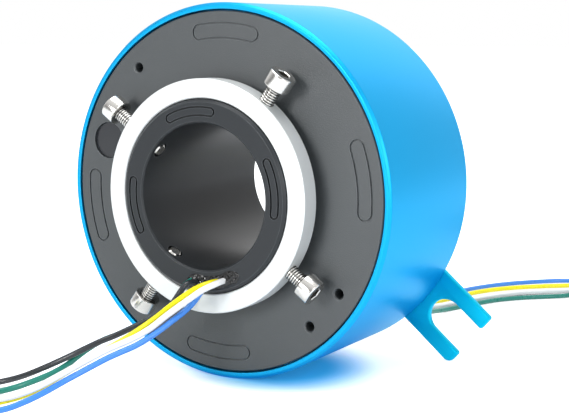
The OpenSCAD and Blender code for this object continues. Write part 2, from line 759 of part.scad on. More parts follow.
stator_black = [
    [15.5, 60, -38], [14.5, 71, -41], [13.5, 82, -45], [13, 93, -48], [14.5, 108.5, -48.5],
    [20.5, 125.5, -48.5], [25, 135.5, -48.5], [32.5, 145.5, -48.5], [42.5, 155, -48.5]
];
stator_yellow = [
    [13.5, 60, -38.5], [12, 71, -41], [11, 82, -44.5], [10.5, 93, -47], [11, 112, -48.5],
    [15, 133, -48.5], [21, 146, -48.5], [29, 155.5, -48.5], [39.5, 164.5, -48.5]
];
stator_blue = [
    [11.5, 60, -39.5], [9.5, 71, -42.5], [8, 82, -46], [7.5, 94, -48], [7.5, 108, -48.5],
    [8, 123, -48.5], [11.5, 139, -48.5], [18, 153.5, -48.5], [26, 164, -48.5], [36.5, 173.5, -48.5]
];

// Places across a bundle, from its left to its right as it runs to its coil
bundle_turn = [162, 234, 90, 306, 18];
// Places across the surface, just before the bundle forms
fan_steps = [-4.3, -2.1, 0, 2.1, 4.3];

function unit(v) = v / norm(v);

// The last two points of a lead's route, where it joins the bundle
function join_bundle(entry, heading, slot) =
    let (along = [cos(heading), sin(heading)], right = [sin(heading), -cos(heading)],
         near = entry - 4 * along + bundle_r * cos(bundle_turn[slot]) * right,
         far = entry - 17 * along + fan_steps[slot] * right)
    [
        [far[0], far[1], floor_z + 1 + 0.25 * abs(slot - 2)],
        [near[0], near[1], coil_mid_z + bundle_r * sin(bundle_turn[slot])]
    ];

// Straight out of the rotor's resin, along the route, and into the coil
function rotor_route(angle, points, slot) = concat(
    [at(duct_r, angle, rotor_exit_y), at(duct_r, angle, rotor_exit_y - 1.3)],
    points, join_bundle(rotor_coil_entry, rotor_coil_heading, slot));

function stator_route(i, points, slot) = concat(
    [at(exit_r, stator_lead_angle(i), stator_exit_y), at(exit_r, stator_lead_angle(i), stator_exit_y + 3)],
    points, join_bundle(stator_coil_entry, stator_coil_heading, slot));

// A tube of eight sides through the points of a route
module lead(points) {
    sides = 8;
    last = len(points) - 1;
    ring_points = [for (i = [0 : last])
        let (along = unit(points[min(i + 1, last)] - points[max(i - 1, 0)]),
             side = unit(cross(along, [0, 0, 1])),
             top = cross(side, along))
        for (k = [0 : sides - 1])
            let (a = (k + 0.5) * 360 / sides)
            points[i] + lead_d / 2 * (cos(a) * side + sin(a) * top)];
    walls = [for (i = [0 : last - 1], k = [0 : sides - 1])
        let (a = i * sides + k, b = i * sides + (k + 1) % sides)
        each [[a, b, b + sides], [a, b + sides, a + sides]]];
    ends = [[for (k = [sides - 1 : -1 : 0]) k], [for (k = [0 : sides - 1]) last * sides + k]];
    polyhedron(ring_points, concat(walls, ends), convexity = 10);
}

module rotor_lead_black() {
    color([0.10, 0.10, 0.11]) lead(rotor_route(duct_angle - 12.8, rotor_black, 4));
}

module rotor_lead_green() {
    color([0.10, 0.50, 0.42]) lead(rotor_route(duct_angle - 17.3, rotor_green, 3));
}

module rotor_lead_yellow() {
    color([0.95, 0.90, 0.10]) lead(rotor_route(duct_angle + 5.4, rotor_yellow, 2));
}

module rotor_lead_white() {
    color([0.93, 0.93, 0.92]) lead(rotor_route(duct_angle + 9.9, rotor_white, 1));
}

module rotor_lead_blue() {
    color([0.15, 0.40, 0.85]) lead(rotor_route(duct_angle - 1.6, rotor_blue, 0));
}

module stator_lead_blue() {
    color([0.15, 0.40, 0.85]) lead(stator_route(0, stator_blue, 0));
}

module stator_lead_yellow() {
    color([0.95, 0.90, 0.10]) lead(stator_route(1, stator_yellow, 1));
}

module stator_lead_black() {
    color([0.10, 0.10, 0.11]) lead(stator_route(2, stator_black, 2));
}

module stator_lead_white() {
    color([0.93, 0.93, 0.92]) lead(stator_route(3, stator_white, 3));
}

module stator_lead_green() {
    color([0.10, 0.50, 0.42]) lead(stator_route(4, stator_green, 4));
}

// Middle of a coil, which lies to the right of its bundle
function coil_centre(entry, heading) =
    entry + coil_outer_turn_r * [sin(heading), -cos(heading)];

rotor_coil_centre = coil_centre(rotor_coil_entry, rotor_coil_heading);
stator_coil_centre = coil_centre(stator_coil_entry, stator_coil_heading);

// Section of a coil, and of the ties round it
module coil_section(grow) {
    corner = 1.6;
    translate([coil_inner_r - grow, coil_lift - grow]) {
        for (x = [corner, coil_w + 2 * grow - corner], y = [corner, coil_w + 2 * grow - corner])
            translate([x, y]) circle(r = corner, $fn = 48);
        translate([corner, 0]) square([coil_w + 2 * grow - 2 * corner, coil_w + 2 * grow]);
        translate([0, corner]) square([coil_w + 2 * grow, coil_w + 2 * grow - 2 * corner]);
    }
}

module lead_coil(centre) {
    translate([centre[0], centre[1], floor_z]) rotate_extrude(convexity = 4) coil_section(0);
}

// Two bands round a coil, on opposite sides
module coil_ties(centre, heading) {
    span = 14;
    translate([centre[0], centre[1], floor_z])
        for (side = [0, 180])
            rotate([0, 0, heading + side - span / 2]) rotate_extrude(angle = span, convexity = 4)
                difference() {
                    coil_section(coil_lift);
                    coil_section(0);
                }
}

module rotor_lead_coil() { color([0.55, 0.55, 0.55]) lead_coil(rotor_coil_centre); }
module stator_lead_coil() { color([0.55, 0.55, 0.55]) lead_coil(stator_coil_centre); }
module rotor_coil_tie() { color([0.12, 0.12, 0.12]) coil_ties(rotor_coil_centre, rotor_coil_heading); }
module stator_coil_tie() { color([0.12, 0.12, 0.12]) coil_ties(stator_coil_centre, stator_coil_heading); }

housing();
front_cover();
rear_cover();
blanking_plug();
anti_rotation_fork();
fork_screws();
front_outer_race();
front_inner_race();
front_balls();
rear_outer_race();
rear_inner_race();
rear_balls();
rotor_sleeve();
clamp_ring();
clamp_screw_1();
clamp_screw_2();
clamp_screw_3();
clamp_screw_4();
conductor_ring_1();
conductor_ring_2();
conductor_ring_3();
conductor_ring_4();
conductor_ring_5();
insulating_washers();
stack_spacer();
retaining_ring();
rotor_inner_leads();
rotor_resin();
brush_block_upper();
brush_block_lower();
brushes_upper();
brushes_lower();
terminal_board();
stator_inner_leads();
stator_resin();
rotor_lead_black();
rotor_lead_green();
rotor_lead_yellow();
rotor_lead_white();
rotor_lead_blue();
stator_lead_black();
stator_lead_green();
stator_lead_yellow();
stator_lead_white();
stator_lead_blue();
rotor_lead_coil();
rotor_coil_tie();
stator_lead_coil();
stator_coil_tie();
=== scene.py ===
"""Dresses a through-bore slip ring and lights it on a pale floor.

The drum (housing, covers, fork) stands still, the sleeve with its clamp ring turns,
and five leads leave each side and end in a small tied coil on the floor.
Lengths are in millimetres and angles in degrees. Only a finish's and the studio's
own lengths are in metres, as their docstrings say.
"""

import logging
import math
from dataclasses import dataclass, field
from enum import Enum

import bmesh
import bpy
import numpy as np
from mathutils import Matrix, Vector


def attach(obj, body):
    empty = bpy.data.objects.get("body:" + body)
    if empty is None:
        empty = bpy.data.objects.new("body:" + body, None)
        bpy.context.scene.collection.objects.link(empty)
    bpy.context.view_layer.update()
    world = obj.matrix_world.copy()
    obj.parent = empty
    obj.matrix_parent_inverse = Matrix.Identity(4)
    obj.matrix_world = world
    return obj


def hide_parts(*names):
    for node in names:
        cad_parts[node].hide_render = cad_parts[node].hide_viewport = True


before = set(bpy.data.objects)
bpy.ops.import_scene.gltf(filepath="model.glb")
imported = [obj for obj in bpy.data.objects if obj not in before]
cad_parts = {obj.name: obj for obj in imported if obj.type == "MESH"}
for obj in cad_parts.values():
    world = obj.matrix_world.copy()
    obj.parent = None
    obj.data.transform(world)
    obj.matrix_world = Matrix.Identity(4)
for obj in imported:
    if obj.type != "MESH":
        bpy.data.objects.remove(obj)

LOG = logging.getLogger("slip_ring")
MM = 0.001
TURN = 2 * math.pi
FLOOR_Z = -49.5
ALONG = np.array([0.0, 1.0, 0.0])
Array = np.ndarray
Colour = tuple[float, float, float]
Point = tuple[float, float, float]
# Where the leads leave the collar's wire duct and the rear outlet: radius, angle and step
DUCT_R, DUCT_ANGLE = 22.025, 279.3
OUTLET_R, OUTLET_ANGLE, OUTLET_STEP = 39.735, -66.0, 2.46
Tree = bpy.types.NodeTree
Socket = bpy.types.NodeSocket


class Body(str, Enum):
    """The bodies that a piece can ride on."""

    STATOR = "stator"
    ROTOR = "rotor"


class Insulation(str, Enum):
    """The colours of the leads."""

    BLACK = "black"
    GREEN = "green"
    YELLOW = "yellow"
    WHITE = "white"
    BLUE = "blue"


# ---------- Shapes ----------


def srgb(red: int, green: int, blue: int) -> Colour:
    """Turns a colour of 0 to 255 a channel into the linear values that a shader takes.

    Args:
        red, green, blue: The colour as a screen shows it.

    Returns:
        The linear red, green and blue.
    """
    c = np.array([red, green, blue]) / 255
    linear = np.where(c <= 0.04045, c / 12.92, ((c + 0.055) / 1.055) ** 2.4)
    return tuple(float(x) for x in linear)


def at(radius: float, angle: float, y: float) -> Array:
    """A place from its radius and angle round the shaft, and its place along it."""
    a = math.radians(angle)
    return np.array([radius * math.cos(a), y, radius * math.sin(a)])


def unit(vectors: Array) -> Array:
    """Each vector divided by its length."""
    return vectors / np.maximum(np.linalg.norm(vectors, axis=-1, keepdims=True), 1e-12)


def smoothstep(x: Array, start: float, end: float) -> Array:
    """0 before start, 1 after end, and t*t*(3 - 2*t) between them."""
    t = np.clip((np.asarray(x, float) - start) / (end - start), 0, 1)
    return t * t * (3 - 2 * t)


def filleted(corners: Array, radii: Array, steps: int = 5) -> Array:
    """Rounds the corners of a closed outline.

    Each corner becomes a circular arc, written as a rational curve of the second degree:
    ((1-t)^2 A + 2 w t (1-t) C + t^2 B) / ((1-t)^2 + 2 w t (1-t) + t^2), where C is the
    corner, A and B are the points where the arc leaves its two sides, and w is the sine
    of half the corner's angle.

    Args:
        corners: The outline's corners, n by 2.
        radii: The radius of each corner, n values.
        steps: Parts that each arc has.

    Returns:
        The rounded outline, n * (steps + 1) by 2.
    """
    back, on = np.roll(corners, 1, 0) - corners, np.roll(corners, -1, 0) - corners
    u, v = unit(back), unit(on)
    half = np.arccos(np.clip((u * v).sum(1), -1, 1)) / 2
    reach = np.asarray(radii, float) / np.maximum(np.tan(half), 1e-6)
    side = np.minimum(np.linalg.norm(back, axis=1), np.linalg.norm(on, axis=1))
    reach = np.minimum(reach, side / 2)
    a, b = corners + u * reach[:, None], corners + v * reach[:, None]
    t = np.linspace(0, 1, steps + 1)[None, :, None]
    w = np.sin(half)[:, None, None]
    near, middle, far = (1 - t) ** 2, 2 * w * t * (1 - t), t**2
    top = near * a[:, None] + middle * corners[:, None] + far * b[:, None]
    return (top / (near + middle + far)).reshape(-1, 2)


def surface(name: str, grid: Array, closed_rows: bool = False, sharp: float = 40.0,
            caps: bool = False) -> bpy.types.Object:
    """Makes a mesh piece from a grid of points.

    The point in row i and column j is one vertex, and four neighbours make one face.
    The last column joins the first. Rows that have shrunk to a point are merged, so
    poles close by themselves.

    Args:
        name: The piece's name.
        grid: Points in millimetres, rows by columns by 3.
        closed_rows: Whether the last row joins the first.
        sharp: Edges turned by more than this many degrees stay sharp.
        caps: Whether the first and last rows are closed with a face each.

    Returns:
        The piece, linked into the scene.
    """
    rows, columns = grid.shape[:2]
    index = np.arange(rows * columns).reshape(rows, columns)
    i = np.arange(rows if closed_rows else rows - 1)
    i, j = np.meshgrid(i, np.arange(columns), indexing="ij")
    i1, j1 = (i + 1) % rows, (j + 1) % columns
    quads = np.stack([index[i, j], index[i, j1], index[i1, j1], index[i1, j]], -1)
    faces = quads.reshape(-1, 4).tolist()
    if caps:
        faces += [index[0, ::-1].tolist(), index[-1].tolist()]
    mesh = bpy.data.meshes.new(name)
    mesh.from_pydata((grid.reshape(-1, 3) * MM).tolist(), [], faces)
    mend(mesh)
    mesh.set_sharp_from_angle(angle=math.radians(sharp))
    return in_scene(name, mesh)


def mend(mesh: bpy.types.Mesh) -> None:
    """Merges a mesh's doubles, turns its faces outwards and shades them smooth."""
    edit = bmesh.new()
    edit.from_mesh(mesh)
    bmesh.ops.remove_doubles(edit, verts=edit.verts, dist=1e-7)
    bmesh.ops.dissolve_degenerate(edit, edges=edit.edges, dist=1e-7)
    bmesh.ops.recalc_face_normals(edit, faces=edit.faces)
    edit.to_mesh(mesh)
    edit.free()
    mesh.polygons.foreach_set("use_smooth", np.ones(len(mesh.polygons), bool))
    mesh.update()


def in_scene(name: str, data: bpy.types.ID) -> bpy.types.Object:
    """An object that holds the data, linked into the scene."""
    made = bpy.data.objects.new(name, data)
    bpy.context.scene.collection.objects.link(made)
    return made


def round_angles(count: int) -> Array:
    """Equal steps of one turn, in radians."""
    return np.linspace(0, TURN, count, endpoint=False)


def turned(name: str, outline: Array, around: int) -> bpy.types.Object:
    """A solid turned about the shaft: x = r cos a, z = r sin a, with r and y from the outline.

    Args:
        name: The piece's name.
        outline: Closed outline of radius and place along the shaft, n by 2.
        around: Columns round the shaft.

    Returns:
        The piece.
    """
    a, r = round_angles(around), outline[:, :1]
    y = np.broadcast_to(outline[:, 1:], (len(r), around))
    return surface(name, np.stack([r * np.cos(a), y, r * np.sin(a)], -1), closed_rows=True)


def placed(grid: Array, angle: float, y: float) -> Array:
    """Turns points drawn about +Z so that +Z points outwards from the shaft.

    Args:
        grid: Points whose last value is the distance from the shaft.
        angle: The angle round the shaft that +Z is turned to.
        y: The place along the shaft of their axis.

    Returns:
        The points in the part's frame.
    """
    out, side = at(1, angle, 0), at(1, angle + 90, 0)
    return grid[..., 2:] * out + grid[..., :1] * side + (grid[..., 1:2] + y) * ALONG


# ---------- Shader groups ----------


def feed(tree: Tree, socket: Socket, value: object) -> None:
    """Links an input to another socket, or sets its own value.

    Args:
        tree: The node tree.
        socket: The input.
        value: The socket to link, or the constant.
    """
    if isinstance(value, Socket):
        tree.links.new(value, socket)
    else:
        socket.default_value = value


def add_node(tree: Tree, kind: str, inputs: dict[str | int, object]) -> bpy.types.Node:
    """Adds a node and feeds its inputs.

    Args:
        tree: The node tree.
        kind: The node's type.
        inputs: A socket or a constant for each input, by title or by number.

    Returns:
        The node.
    """
    node = tree.nodes.new(kind)
    for title, value in inputs.items():
        feed(tree, node.inputs[title], value)
    return node


def own_place(tree: Tree) -> Socket:
    """The place of a point in the piece's own coordinates."""
    return tree.nodes.new("ShaderNodeTexCoord").outputs["Object"]


def group(name: str, inputs: dict[str, float], outputs: list[str]) -> tuple:
    """Starts a shader node group.

    Args:
        name: The group's name.
        inputs: Each input's name and usual value.
        outputs: The outputs' names; one called Normal is a vector.

    Returns:
        The tree, the values that it is given, and the sockets that take what it makes.
    """
    tree = bpy.data.node_groups.new(name, "ShaderNodeTree")
    for title, value in inputs.items():
        socket = tree.interface.new_socket(title, in_out="INPUT", socket_type="NodeSocketFloat")
        socket.default_value = value
    for title in outputs:
        kind = "NodeSocketVector" if title == "Normal" else "NodeSocketFloat"
        tree.interface.new_socket(title, in_out="OUTPUT", socket_type=kind)
    given, made = tree.nodes.new("NodeGroupInput"), tree.nodes.new("NodeGroupOutput")
    return tree, given.outputs, made.inputs


def math_node(tree: Tree, operation: str, *values: object, clamp: bool = False) -> Socket:
    """Adds one Math node.

    Args:
        tree: The node tree.
        operation: The node's operation.
        values: A number or a socket for each of its inputs.
        clamp: Whether the result is kept from 0 to 1.

    Returns:
        Its output.
    """
    node = tree.nodes.new("ShaderNodeMath")
    node.operation, node.use_clamp = operation, clamp
    for socket, value in zip(node.inputs, values):
        feed(tree, socket, value)
    return node.outputs[0]


def noise(tree: Tree, scale: object, detail: float) -> Socket:
    """A noise from 0 to 1 over the piece's own coordinates.

    Args:
        tree: The node tree.
        scale: A number or a socket for the noise's scale, per metre.
        detail: Octaves.

    Returns:
        The noise.
    """
    return add_node(tree, "ShaderNodeTexNoise", {
        "Vector": own_place(tree), "Scale": scale, "Detail": detail, "Roughness": 0.55,
    }).outputs[0]


def eased(tree: Tree, value: Socket, span: tuple[float, float],
          onto: tuple[float, float] = (0.0, 1.0)) -> Socket:
    """Carries a value from one span onto another along a smoothstep.

    Args:
        tree: The node tree.
        value: The value.
        span: Where it starts and ends.
        onto: What it becomes at the start and at the end.

    Returns:
        What it becomes.
    """
    node = tree.nodes.new("ShaderNodeMapRange")
    node.interpolation_type = "SMOOTHSTEP"
    titles = ("Value", "From Min", "From Max", "To Min", "To Max")
    for title, given in zip(titles, (value, *span, *onto)):
        feed(tree, node.inputs[title], given)
    return node.outputs["Result"]


def mix(tree: Tree, share: Socket, first: Socket | Colour, second: Socket | Colour) -> Socket:
    """Mixes two colours.

    Args:
        tree: The node tree.
        share: How much of the second colour shows.
        first, second: Colours, or sockets that give one.

    Returns:
        The mixed colour.
    """
    node = tree.nodes.new("ShaderNodeMix")
    node.data_type = "RGBA"
    tree.links.new(share, node.inputs[0])
    for socket, value in ((node.inputs[6], first), (node.inputs[7], second)):
        feed(tree, socket, value if isinstance(value, Socket) else (*value, 1))
    return node.outputs[2]


def grain_group() -> Tree:
    """Fine grain and broad, faint unevenness, as a Height and a Tone about 0.5."""
    fine_share = 0.35
    tree, given, made = group("grain", {"Scale": 2500, "Broad": 40}, ["Height", "Tone"])
    fine = noise(tree, given["Scale"], 3)
    broad = math_node(tree, "MULTIPLY", noise(tree, given["Broad"], 4), 1 - fine_share)
    tree.links.new(fine, made["Height"])
    tree.links.new(math_node(tree, "MULTIPLY_ADD", fine, fine_share, broad), made["Tone"])
    return tree


def turning_group() -> Tree:
    """The fine lines that a lathe leaves: waves over the radius on a face, and over Y on a side."""
    y_share, wobble_depth = 1.37, 0.0006
    tree, given, made = group("turning", {"Lines": 4000}, ["Height"])
    x, y, z = add_node(tree, "ShaderNodeSeparateXYZ", {0: own_place(tree)}).outputs
    squares = math_node(tree, "MULTIPLY_ADD", x, x, math_node(tree, "MULTIPLY", z, z))
    radius = math_node(tree, "SQRT", squares)
    across = math_node(tree, "ADD", radius, math_node(tree, "MULTIPLY", y, y_share))
    wobbled = math_node(tree, "MULTIPLY_ADD", noise(tree, 60, 2), wobble_depth, across)
    waves = tree.nodes.new("ShaderNodeTexNoise")
    waves.noise_dimensions = "1D"
    for title, value in (("W", wobbled), ("Scale", given["Lines"]), ("Detail", 3)):
        feed(tree, waves.inputs[title], value)
    tree.links.new(waves.outputs[0], made["Height"])
    return tree


def edge_group() -> Tree:
    """Where a surface turns a corner: a Mask, broken up a little, and a Normal that rounds it."""
    gain = 9.0
    tree, given, made = group("edge", {"Width": 0.0002, "Break": 300}, ["Mask", "Normal"])
    rounded = add_node(tree, "ShaderNodeBevel", {"Radius": given["Width"]})
    rounded.samples = 6
    flat = tree.nodes.new("ShaderNodeNewGeometry").outputs["Normal"]
    dot = add_node(tree, "ShaderNodeVectorMath", {0: rounded.outputs[0], 1: flat})
    dot.operation = "DOT_PRODUCT"
    turned_by = math_node(tree, "SUBTRACT", 1.0, dot.outputs["Value"])
    patchy = math_node(tree, "MULTIPLY", noise(tree, given["Break"], 3), gain)
    tree.links.new(math_node(tree, "MULTIPLY", turned_by, patchy, clamp=True), made["Mask"])
    tree.links.new(rounded.outputs[0], made["Normal"])
    return tree


def recess_group() -> Tree:
    """How shut in a surface is by its own walls, as a Mask that is 1 deep in a recess. Finishes use
    it to paint shade into recesses.
    """
    gain = 1.5
    tree, given, made = group("recess", {"Reach": 0.0015}, ["Mask"])
    open_air = add_node(tree, "ShaderNodeAmbientOcclusion", {"Distance": given["Reach"]})
    open_air.only_local = True
    open_air.samples = 8
    shut = math_node(tree, "SUBTRACT", 1.0, open_air.outputs["AO"])
    tree.links.new(math_node(tree, "MULTIPLY", shut, gain, clamp=True), made["Mask"])
    return tree


@dataclass
class Groups:
    """The shared shader groups, each built once."""

    grain: Tree = field(default_factory=grain_group)
    turning: Tree = field(default_factory=turning_group)
    edge: Tree = field(default_factory=edge_group)
    recess: Tree = field(default_factory=recess_group)


# ---------- Finishes ----------


@dataclass(frozen=True)
class Finish:
    """One surface finish: its colour, gloss and grain, and how its edges wear and take a painted
    highlight.

    Its lengths are in metres and its scales per metre. The edge colour is partly wear and partly a
    painted highlight that edges catch, and the recess settings paint shade that darkens a recess.
    """

    name: str
    colour: Colour
    rough: float = 0.4
    metal: float = 0.0
    uneven: float = 0.08
    grain_scale: float = 2500
    grain_depth: float = 0.00001
    rough_spread: float = 0.1
    lines: float = 0.0
    line_depth: float = 0.000006
    # Edge colour: wear, and a painted highlight that the edges catch.
    edge_wear_and_highlight: Colour | None = None
    edge_width: float = 0.0002
    edge_amount: float = 0.5
    coat: float = 0.0
    coat_rough: float = 0.06
    specular: float = 0.5
    gloss_tint: Colour = (1.0, 1.0, 1.0)
    # Painted shade in recesses: how much, how far the walls reach, and how dark.
    painted_recess_shade: float = 0.0
    painted_shade_reach: float = 0.0016
    painted_shade_darkness: float = 0.06

    def material(self, groups: Groups) -> bpy.types.Material:
        """Builds the material.

        Args:
            groups: The shared shader groups.

        Returns:
            The material, or the one built before for the same finish.
        """
        known = bpy.data.materials.get(self.name)
        if known:
            return known
        material = bpy.data.materials.new(self.name)
        material.use_nodes = True
        tree = material.node_tree
        shader = tree.nodes["Principled BSDF"]
        grain = self.use(tree, groups.grain, "Scale", self.grain_scale)
        edge = self.use(tree, groups.edge, "Width", self.edge_width)
        rough = math_node(tree, "MULTIPLY_ADD", grain["Tone"], self.rough_spread,
                          self.rough - self.rough_spread / 2)
        values = {
            "Metallic": self.metal, "Coat Weight": self.coat, "Coat Roughness": self.coat_rough,
            "Specular IOR Level": self.specular, "Specular Tint": (*self.gloss_tint, 1),
            "Roughness": rough, "Base Color": self.base(tree, grain["Tone"], edge["Mask"], groups),
            "Normal": self.relief(tree, grain["Height"], edge["Normal"], groups),
        }
        for title, value in values.items():
            feed(tree, shader.inputs[title], value)
        return material

    @staticmethod
    def use(tree: Tree, made: Tree, title: str, value: float) -> bpy.types.bpy_prop_collection:
        """Puts a group into a material.

        Args:
            tree: The material's tree.
            made: The group.
            title: The group's input that is set.
            value: Its value.

        Returns:
            The outputs of the group's node.
        """
        node = tree.nodes.new("ShaderNodeGroup")
        node.node_tree = made
        node.inputs[title].default_value = value
        return node.outputs

    def base(self, tree: Tree, tone: Socket, wear_and_highlight_mask: Socket, groups: Groups) -> Socket:
        """The base colour: uneven with the tone, paler on edges as wear and painted highlight, with
        painted shade deep in a recess.
        """
        dark = tuple(c * (1 - self.uneven) for c in self.colour)
        pale = tuple(min(1.0, c * (1 + self.uneven)) for c in self.colour)
        body = mix(tree, tone, dark, pale)
        # Paler edges: wear, and painted highlight.
        if self.edge_wear_and_highlight:
            share = math_node(tree, "MULTIPLY", wear_and_highlight_mask, self.edge_amount)
            body = mix(tree, share, body, self.edge_wear_and_highlight)
        # Painted shade deep in a recess.
        if self.painted_recess_shade:
            deep = self.use(tree, groups.recess, "Reach", self.painted_shade_reach)["Mask"]
            share = math_node(tree, "MULTIPLY", deep, self.painted_recess_shade)
            body = mix(tree, share, body, tuple(c * self.painted_shade_darkness for c in self.colour))
        return body

    def relief(self, tree: Tree, height: Socket, normal: Socket, groups: Groups) -> Socket:
        """The normal: the grain and any turning lines, over one that rounds the edges."""
        layers = [(height, self.grain_depth)]
        if self.lines:
            lines = self.use(tree, groups.turning, "Lines", self.lines)["Height"]
            layers.append((lines, self.line_depth))
        for rise, depth in layers:
            normal = add_node(tree, "ShaderNodeBump", {
                "Height": rise, "Distance": depth, "Normal": normal,
            }).outputs[0]
        return normal


def vinyl(colour: Insulation, shade: Colour, rough: float, uneven: float) -> Finish:
    """The insulation of a lead.

    Args:
        colour: The lead's colour by name.
        shade: The colour itself.
        rough: How rough it is.
        uneven: How far its tone varies.

    Returns:
        The finish.
    """
    return Finish(f"lead_{colour.value}_vinyl", shade, rough=rough, uneven=uneven, grain_scale=900)


# The paler edge colours below stand partly for wear and partly for painted highlights on rims,
# chamfers and bevels.
BLUE_ANODISED = Finish(
    "blue_anodised", srgb(4, 162, 219), rough=0.42, metal=0.85, uneven=0.05, grain_scale=5000,
    grain_depth=0.000004, lines=3500, line_depth=0.0000015, edge_wear_and_highlight=srgb(110, 222, 246),
    edge_width=0.0003, specular=0.3, gloss_tint=srgb(170, 228, 255), coat=0.2, coat_rough=0.3)
FORK_BLUE = Finish(
    "fork_blue", srgb(0, 180, 214), rough=0.36, metal=0.6, uneven=0.05, grain_scale=4000,
    grain_depth=0.000005, edge_wear_and_highlight=srgb(90, 224, 250), edge_width=0.0003, specular=0.4,
    gloss_tint=srgb(150, 226, 255))
COVER_PLASTIC = Finish(
    "cover_plastic", srgb(62, 66, 68), rough=0.38, uneven=0.14, grain_scale=3600,
    grain_depth=0.00005, rough_spread=0.12, edge_wear_and_highlight=srgb(132, 138, 142), edge_width=0.00026,
    edge_amount=0.6, specular=0.65)
PLUG_PLASTIC = Finish(
    "plug_plastic", srgb(36, 38, 42), rough=0.22, uneven=0.1, grain_scale=1500,
    edge_wear_and_highlight=srgb(120, 126, 134), edge_width=0.00025)
# Painted shade darkens the bore.
BLACK_ANODISED = Finish(
    "black_anodised", srgb(42, 45, 48), rough=0.34, grain_scale=4200, grain_depth=0.00002,
    lines=2600, line_depth=0.000002, edge_wear_and_highlight=srgb(136, 142, 147), edge_width=0.00022,
    edge_amount=0.6, specular=0.28, painted_recess_shade=0.85, painted_shade_reach=0.016)
BRIGHT_TURNED = Finish(
    "bright_turned", srgb(226, 229, 229), rough=0.42, metal=0.4, uneven=0.03, grain_scale=5000,
    grain_depth=0.000002, lines=5200, edge_wear_and_highlight=srgb(245, 246, 247))
# Painted shade darkens the hex sockets.
NICKEL = Finish(
    "nickel", srgb(214, 212, 208), rough=0.2, metal=1.0, uneven=0.06, grain_scale=3000,
    grain_depth=0.000003, edge_wear_and_highlight=srgb(238, 237, 234), edge_width=0.00012, painted_recess_shade=0.9)
BEARING_STEEL = Finish(
    "bearing_steel", srgb(196, 199, 203), rough=0.22, metal=1.0, uneven=0.04, lines=6000,
    line_depth=0.000002)
POLISHED_STEEL = Finish(
    "polished_steel", srgb(220, 222, 225), rough=0.1, metal=1.0, uneven=0.02,
    grain_depth=0.000001)
SPRING_STEEL = Finish(
    "spring_steel", srgb(78, 80, 84), rough=0.38, metal=0.8, uneven=0.12,
    grain_depth=0.000008, edge_wear_and_highlight=srgb(150, 152, 156))
GOLD_PLATE = Finish(
    "gold_plate", srgb(232, 190, 108), rough=0.24, metal=1.0, uneven=0.05, lines=5200,
    line_depth=0.000003)
WASHER_RESIN = Finish("washer_resin", srgb(44, 44, 47), rough=0.42, grain_depth=0.000012)
COPPER = Finish("copper", srgb(214, 138, 96), rough=0.28, metal=1.0, grain_depth=0.000003)
TINNED = Finish("tinned_copper", srgb(205, 200, 190), rough=0.3, metal=1.0, grain_depth=0.000004)
LAMINATE = Finish("laminate", srgb(60, 92, 66), rough=0.45, uneven=0.15, grain_scale=900)
BOARD_GREEN = Finish(
    "board_green", srgb(28, 98, 66), rough=0.3, uneven=0.1, grain_scale=700,
    grain_depth=0.000005)
POTTING = Finish(
    "potting", srgb(7, 7, 8), rough=0.07, uneven=0.2, grain_scale=170, grain_depth=0.0002,
    rough_spread=0.04, specular=0.6)
NYLON = Finish("nylon", srgb(30, 30, 31), rough=0.38, grain_scale=1800, grain_depth=0.000008)
INSULATION = {
    colour: vinyl(colour, srgb(*shade), rough, uneven)
    for colour, shade, rough, uneven in (
        (Insulation.BLACK, (44, 48, 53), 0.26, 0.12),
        (Insulation.GREEN, (18, 122, 108), 0.28, 0.08),
        (Insulation.YELLOW, (246, 233, 12), 0.28, 0.05),
        (Insulation.WHITE, (236, 237, 238), 0.3, 0.03),
        (Insulation.BLUE, (60, 132, 222), 0.28, 0.06),
    )
}


@dataclass
class Dresser:
    """Gives pieces their material and body, and says what each one is."""

    groups: Groups = field(default_factory=Groups)

    def node(self, name: str, finish: Finish) -> bpy.types.Object:
        """Gives a carried-over solid its finish.

        Args:
            name: The solid's name.
            finish: Its finish.

        Returns:
            The solid's object.
        """
        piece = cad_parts[name]
        material = finish.material(self.groups)
        for held in piece.material_slots:
            held.material = material
        LOG.info("%s: %s", name, finish.name)
        return piece

    def piece(self, piece: bpy.types.Object, finish: Finish, body: Body, slot: str,
              *stands_for: str) -> bpy.types.Object:
        """Finishes a new piece.

        Args:
            piece: The piece, in place.
            finish: Its finish.
            body: The body that it rides on.
            slot: The record's material slot; not used.
            stands_for: Names of the solids that it replaces.

        Returns:
            The piece.
        """
        piece.data.materials.append(finish.material(self.groups))
        if stands_for:
            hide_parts(*stands_for)
        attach(piece, body.value)
        LOG.info("%s: %s, on %s", piece.name, finish.name, body.value)
        return piece


# ---------- The drum ----------


